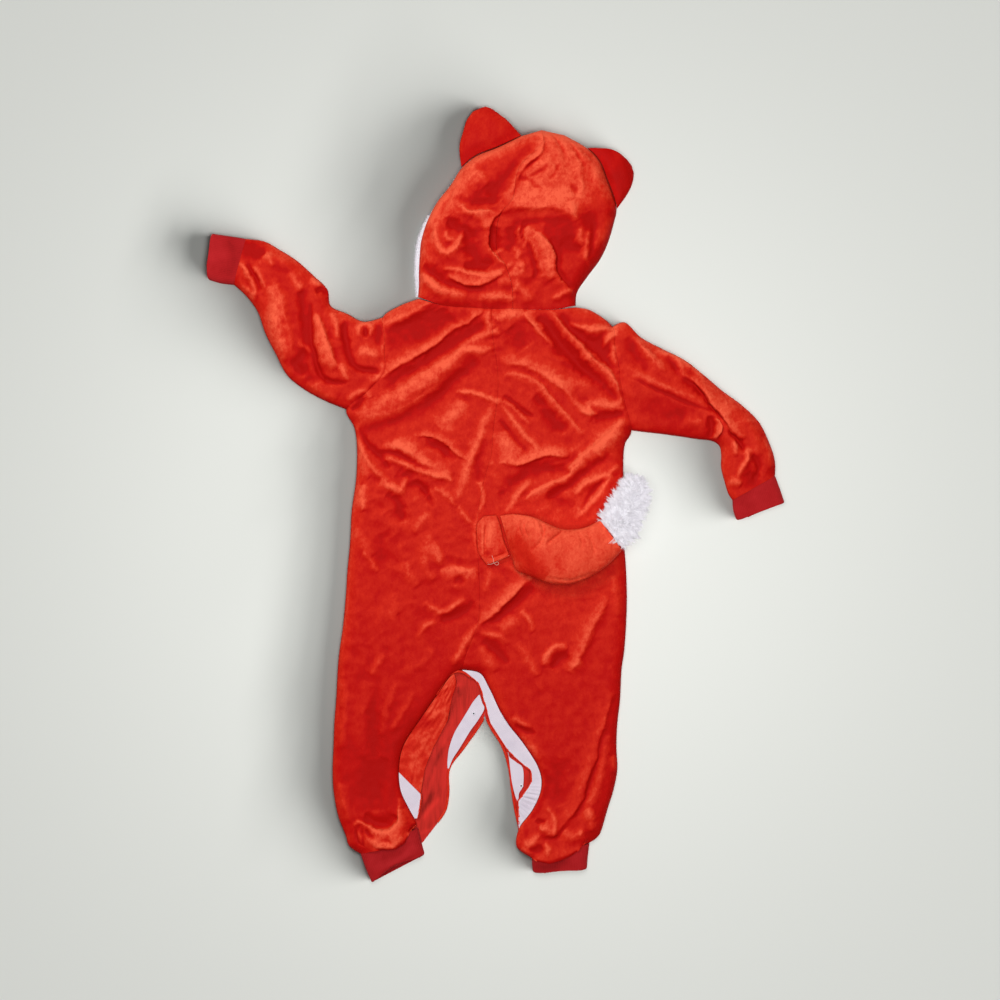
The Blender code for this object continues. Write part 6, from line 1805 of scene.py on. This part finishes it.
def band_plan(leg_edge, table, spacing, shares):
    """A band's places, between the back's own edge line and the band's reach."""
    known = [reach.row for reach in table]
    rows = np.linspace(known[0], known[-1], int(ROW_PITCH * (known[-1] - known[0]) / spacing))
    start = branch(BACK_SEAM, leg_edge, rows)
    end = np.column_stack([np.interp(rows, known, [reach.end_x for reach in table]),
                           np.interp(rows, known, [reach.end_y for reach in table])])
    rim = np.clip(np.linalg.norm(end - start, axis=1) / 12, 0, 1)[:, None]
    return spread(start + (end - start) * 0.04 * (1 - rim), end, shares, (BAND_GAP, 0.0)), rows


def edge_cord(name, line, radius, material):
    """A thin rolled edge of velour along a line of places."""
    along = np.gradient(line, axis=0)
    along /= np.linalg.norm(along, axis=1)[:, None]
    side = np.cross(along, (0, 0, 1.0))
    side /= np.linalg.norm(side, axis=1)[:, None]
    turn = 2 * np.pi * np.arange(11) / 10
    size = radius * (1 + 0.12 * grain(line, 9, 90))[:, None, None]
    ring = (np.cos(turn)[None, :, None] * side[:, None]
            + 0.62 * np.sin(turn)[None, :, None] * (0, 0, 1.0))
    places = line[:, None] + size * ring
    piece = grid_object(name, closed_ends(places), np.full((len(line) + 2, 11), 0.45), wrap=True)
    return dress(piece, material, "velour")


class ONESIE_OT_back_bands(bpy.types.Operator):
    """Make the bands along the back's edges of the inner-leg opening"""
    bl_idname = "onesie.back_bands"
    bl_label = "Back bands"

    def execute(self, context):
        cotton = once("tape", twill_tape)
        thread = once("tape_thread", plain, (0.86, 0.82, 0.86), 0.7, 0.002, 0.1)
        pile = once("velour", velour)
        for name, table in BACK_BANDS.items():
            edge = BACK_OPEN_LEFT if name.endswith("_left") else BACK_OPEN_RIGHT
            plan, rows = band_plan(edge, table, 1.2, np.linspace(0, 1, 27))
            if name == "back_tape_left":
                plan = draw_back(plan, 0, 1)
            flat = plan.reshape(-1, 2)
            soft = grain(flat, 16, 91).reshape(plan.shape[:2])
            if name == "back_band_left":
                run = np.repeat(rows[:, None] * ROW_PITCH, plan.shape[1], axis=1).ravel()
                across = np.tile(np.linspace(0, 30, plan.shape[1]), len(rows))
                streaks = grain(np.column_stack([run * 0.16 + across * 0.25, across]), 3.6, 93)
                tucks = grain(np.column_stack([run + across * 0.8, across * 0.5]), 9, 92)
                lift = (0.6 * streaks + 0.7 * tucks).reshape(soft.shape) + 0.9 * soft
                lift = lift * np.clip(rows[:, None] - 18, 0.2, 1)
                edge_roll = 1.2 * (1 - np.linspace(0, 1, plan.shape[1]) ** 6)
                places = with_height(plan, OPEN_EDGE - 0.4 + edge_roll + lift)
                # Painted light from slopes and crests, over random brighter and darker patches
                nap = painted_light_of(places, (0.32 + 0.28 * grain(flat, 15, 94)).reshape(soft.shape))
                piece = grid_object(name + "_velour", places, nap, wall=TAPE)
                dress(piece, pile, "velour", name)
                continue
            gather = np.clip((rows - 22.4) / 1.0, 0, 1) * np.clip((26.4 - rows) / 1.0, 0, 1)
            fan = grain(np.column_stack([rows * ROW_PITCH, np.zeros(len(rows))]), 3.6, 95)
            inner = np.sin(np.linspace(2.8, 0.2, plan.shape[1]))
            gathered = gather[:, None] * (1.5 * fan[:, None] * inner + 0.6)
            lift = 0.45 * soft + gathered * (name == "back_tape_right")
            places = with_height(plan, OPEN_EDGE + 0.4 + lift)
            piece = grid_object(name + "_twill", places, wall=TAPE)
            dress(piece, cotton, "white_tape", name)
            for number, col in enumerate((2, -3)):
                line = places[:, col] + (0, 0, 0.15)
                stitch = stitched(f"{name}_stitch_{number + 1}", line, 3.0, 2.0, 0.22)
                dress(stitch, thread, "white_tape")
            edge_cord(name + "_edge", places[:, -1] + (0, 0, -0.9), EDGE_CORD, pile)
        rim = fine(CROTCH_RIM)
        line = np.column_stack([rim, np.full(len(rim), OPEN_EDGE + 1.0)])
        edge_cord("crotch_rim", line, EDGE_CORD, pile)
        return {"FINISHED"}


class ONESIE_OT_front_tapes(bpy.types.Operator):
    """Make the tapes on the fronts, their snaps and their red edges"""
    bl_idname = "onesie.front_tapes"
    bl_label = "Front tapes"

    def execute(self, context):
        cotton = once("tape", twill_tape)
        pile = once("velour", velour)
        snap = once("snap", plain, (0.66, 0.61, 0.68), 0.3, 0.004, 0.05)
        # The snap's socket is a near-black disc: painted shade
        snap_shade = once("snap_hole", plain, (0.02, 0.02, 0.03), 0.4, 0.004, 0.1)
        for name, table in FRONT_TAPES.items():
            rows = np.linspace(0, len(table) - 1, 90)
            start, end = smooth(columns(table, 0), rows), smooth(columns(table, 2), rows)
            plan = spread(start, end, np.linspace(0, 1, 22))
            soft = grain(plan.reshape(-1, 2), 14, 96).reshape(plan.shape[:2])
            places = with_height(plan, FRONT_TAPE_LEVEL + 0.25 + 0.25 * soft)
            piece = grid_object(name + "_twill", places, wall=TAPE - 0.3)
            dress(piece, cotton, "white_tape", name)
            centre = (-25.0, -251.0) if name.endswith("_left") else (29.5, -334.0)
            for part, radius, top, material in (("snap", 2.6, 0.7, snap),
                                                ("snap_hole", 1.2, 0.9, snap_shade)):
                mesh_data = bmesh.new()
                bmesh.ops.create_cone(mesh_data, cap_ends=True, segments=28, radius1=radius * MM,
                                      radius2=0.8 * radius * MM, depth=top * MM)
                bmesh.ops.translate(mesh_data, verts=mesh_data.verts, vec=(
                    centre[0] * MM, centre[1] * MM, (FRONT_TAPE_LEVEL + 0.2 + top / 2) * MM))
                mesh = bpy.data.meshes.new(f"{name}_{part}")
                mesh_data.to_mesh(mesh)
                mesh_data.free()
                mesh.shade_smooth()
                mesh.set_sharp_from_angle(angle=math.radians(50))
                dress(placed(f"{name}_{part}", mesh), material, "white_tape")
        for name, edge in (("front_left", FRONT_LEFT), ("front_right", FRONT_RIGHT)):
            line = smooth(edge, np.linspace(1.2, 6.6, 150))
            inward = -1.2 if name.endswith("_left") else 1.2
            line = np.column_stack([line[:, 0] + inward, line[:, 1], np.full(len(line), 2.3)])
            edge_cord(name + "_edge", line, FRONT_EDGE_CORD, pile)
        return {"FINISHED"}


# Lights that make the floor's long soft shadow: angle over the floor and height, in degrees
LOW_LIGHTS = ((6.8, 2.4), (10.0, 4.0), (17.5, 11.5))


class ONESIE_OT_stage(bpy.types.Operator):
    """Make the floor, the soft lights and the camera overhead"""
    bl_idname = "onesie.stage"
    bl_label = "Stage"

    def light(self, name, place, size, power, receivers):
        """An oval area light that faces the origin and falls on one collection only."""
        lamp = bpy.data.lights.new(name, "AREA")
        lamp.shape = "ELLIPSE"
        lamp.size, lamp.size_y = size
        lamp.energy = power
        item = bpy.data.objects.new(name, lamp)
        bpy.context.scene.collection.objects.link(item)
        item.location = place
        item.rotation_euler = (Vector() - Vector(place)).to_track_quat("-Z", "Y").to_euler()
        item.light_linking.receiver_collection = receivers

    def execute(self, context):
        scene = context.scene
        stage = scene.onesie_stage
        mesh_data = bmesh.new()
        bmesh.ops.create_grid(mesh_data, x_segments=2, y_segments=2, size=6.0)
        mesh = bpy.data.meshes.new("floor")
        mesh_data.to_mesh(mesh)
        mesh_data.free()
        floor = bpy.data.objects.new("floor", mesh)
        scene.collection.objects.link(floor)
        floor.location.z = -0.0003
        mesh.materials.append(plain("floor", scene.onesie_colours.floor, 0.9, 0.4, 0.0))
        floor_only = bpy.data.collections.new("floor_only")
        floor_only.objects.link(floor)
        for angle, tall in LOW_LIGHTS:
            turn = math.radians(angle)
            place = (56 * math.cos(turn), -22 * math.cos(turn), 60 * math.sin(turn))
            self.light("floor_light", place, (84.0, 60 * math.radians(tall)),
                       stage.floor_power / math.sin(turn), floor_only)
        self.light("floor_fill", (0, 0, 0.62), (0.5, 0.5), stage.fill_power, floor_only)
        self.light("key", (-0.9, 1.5, 2.0), (0.9, 0.9), stage.key_power, pieces_collection())
        self.light("cloth_light", (0, 0, 2.6), (2.2, 2.2), stage.cloth_power, pieces_collection())
        world = scene.world or bpy.data.worlds.new("studio")
        scene.world = world
        world.use_nodes = True
        background = world.node_tree.nodes["Background"]
        background.inputs["Color"].default_value = (0.93, 0.95, 0.94, 1.0)
        background.inputs["Strength"].default_value = 0.1
        scene.view_settings.view_transform = "Standard"
        camera = bpy.data.cameras.new("camera")
        camera.lens = camera.sensor_width * stage.camera_height / stage.view_width
        camera.clip_end = 100.0
        item = bpy.data.objects.new("camera", camera)
        scene.collection.objects.link(item)
        item.location = (5.2 * MM, -5.8 * MM, stage.camera_height)
        scene.camera = item
        return {"FINISHED"}


class ONESIE_PT_panel(bpy.types.Panel):
    """Sizes, colours and the pieces in the order in which they are made"""
    bl_label = "Fox Onesie"
    bl_idname = "ONESIE_PT_panel"
    bl_space_type = "VIEW_3D"
    bl_region_type = "UI"
    bl_category = "Onesie"

    def draw(self, context):
        for group in (context.scene.onesie_colours, context.scene.onesie_cloth,
                      context.scene.onesie_fur, context.scene.onesie_stage):
            box = self.layout.box()
            for key in group.bl_rna.properties.keys():
                if key not in ("rna_type", "name"):
                    box.prop(group, key)
        for operator in OPERATORS:
            self.layout.operator(operator.bl_idname)


GROUPS = {"onesie_colours": OnesieColours, "onesie_cloth": OnesieCloth, "onesie_fur": OnesieFur,
          "onesie_stage": OnesieStage}
OPERATORS = (ONESIE_OT_backs, ONESIE_OT_fronts, ONESIE_OT_sleeves, ONESIE_OT_cuffs, ONESIE_OT_hood,
             ONESIE_OT_face_trim, ONESIE_OT_ears, ONESIE_OT_tail, ONESIE_OT_tail_tip,
             ONESIE_OT_tail_tab, ONESIE_OT_back_bands, ONESIE_OT_front_tapes, ONESIE_OT_stage)


def register():
    for name, group in GROUPS.items():
        bpy.utils.register_class(group)
        setattr(bpy.types.Scene, name, bpy.props.PointerProperty(type=group))
    for operator in OPERATORS:
        bpy.utils.register_class(operator)
    bpy.utils.register_class(ONESIE_PT_panel)


def unregister():
    bpy.utils.unregister_class(ONESIE_PT_panel)
    for operator in reversed(OPERATORS):
        bpy.utils.unregister_class(operator)
    for name, group in GROUPS.items():
        delattr(bpy.types.Scene, name)
        bpy.utils.unregister_class(group)


def main():
    register()
    for operator in OPERATORS:
        group, name = operator.bl_idname.split(".")
        getattr(getattr(bpy.ops, group), name)()


if __name__ == "__main__":
    main()
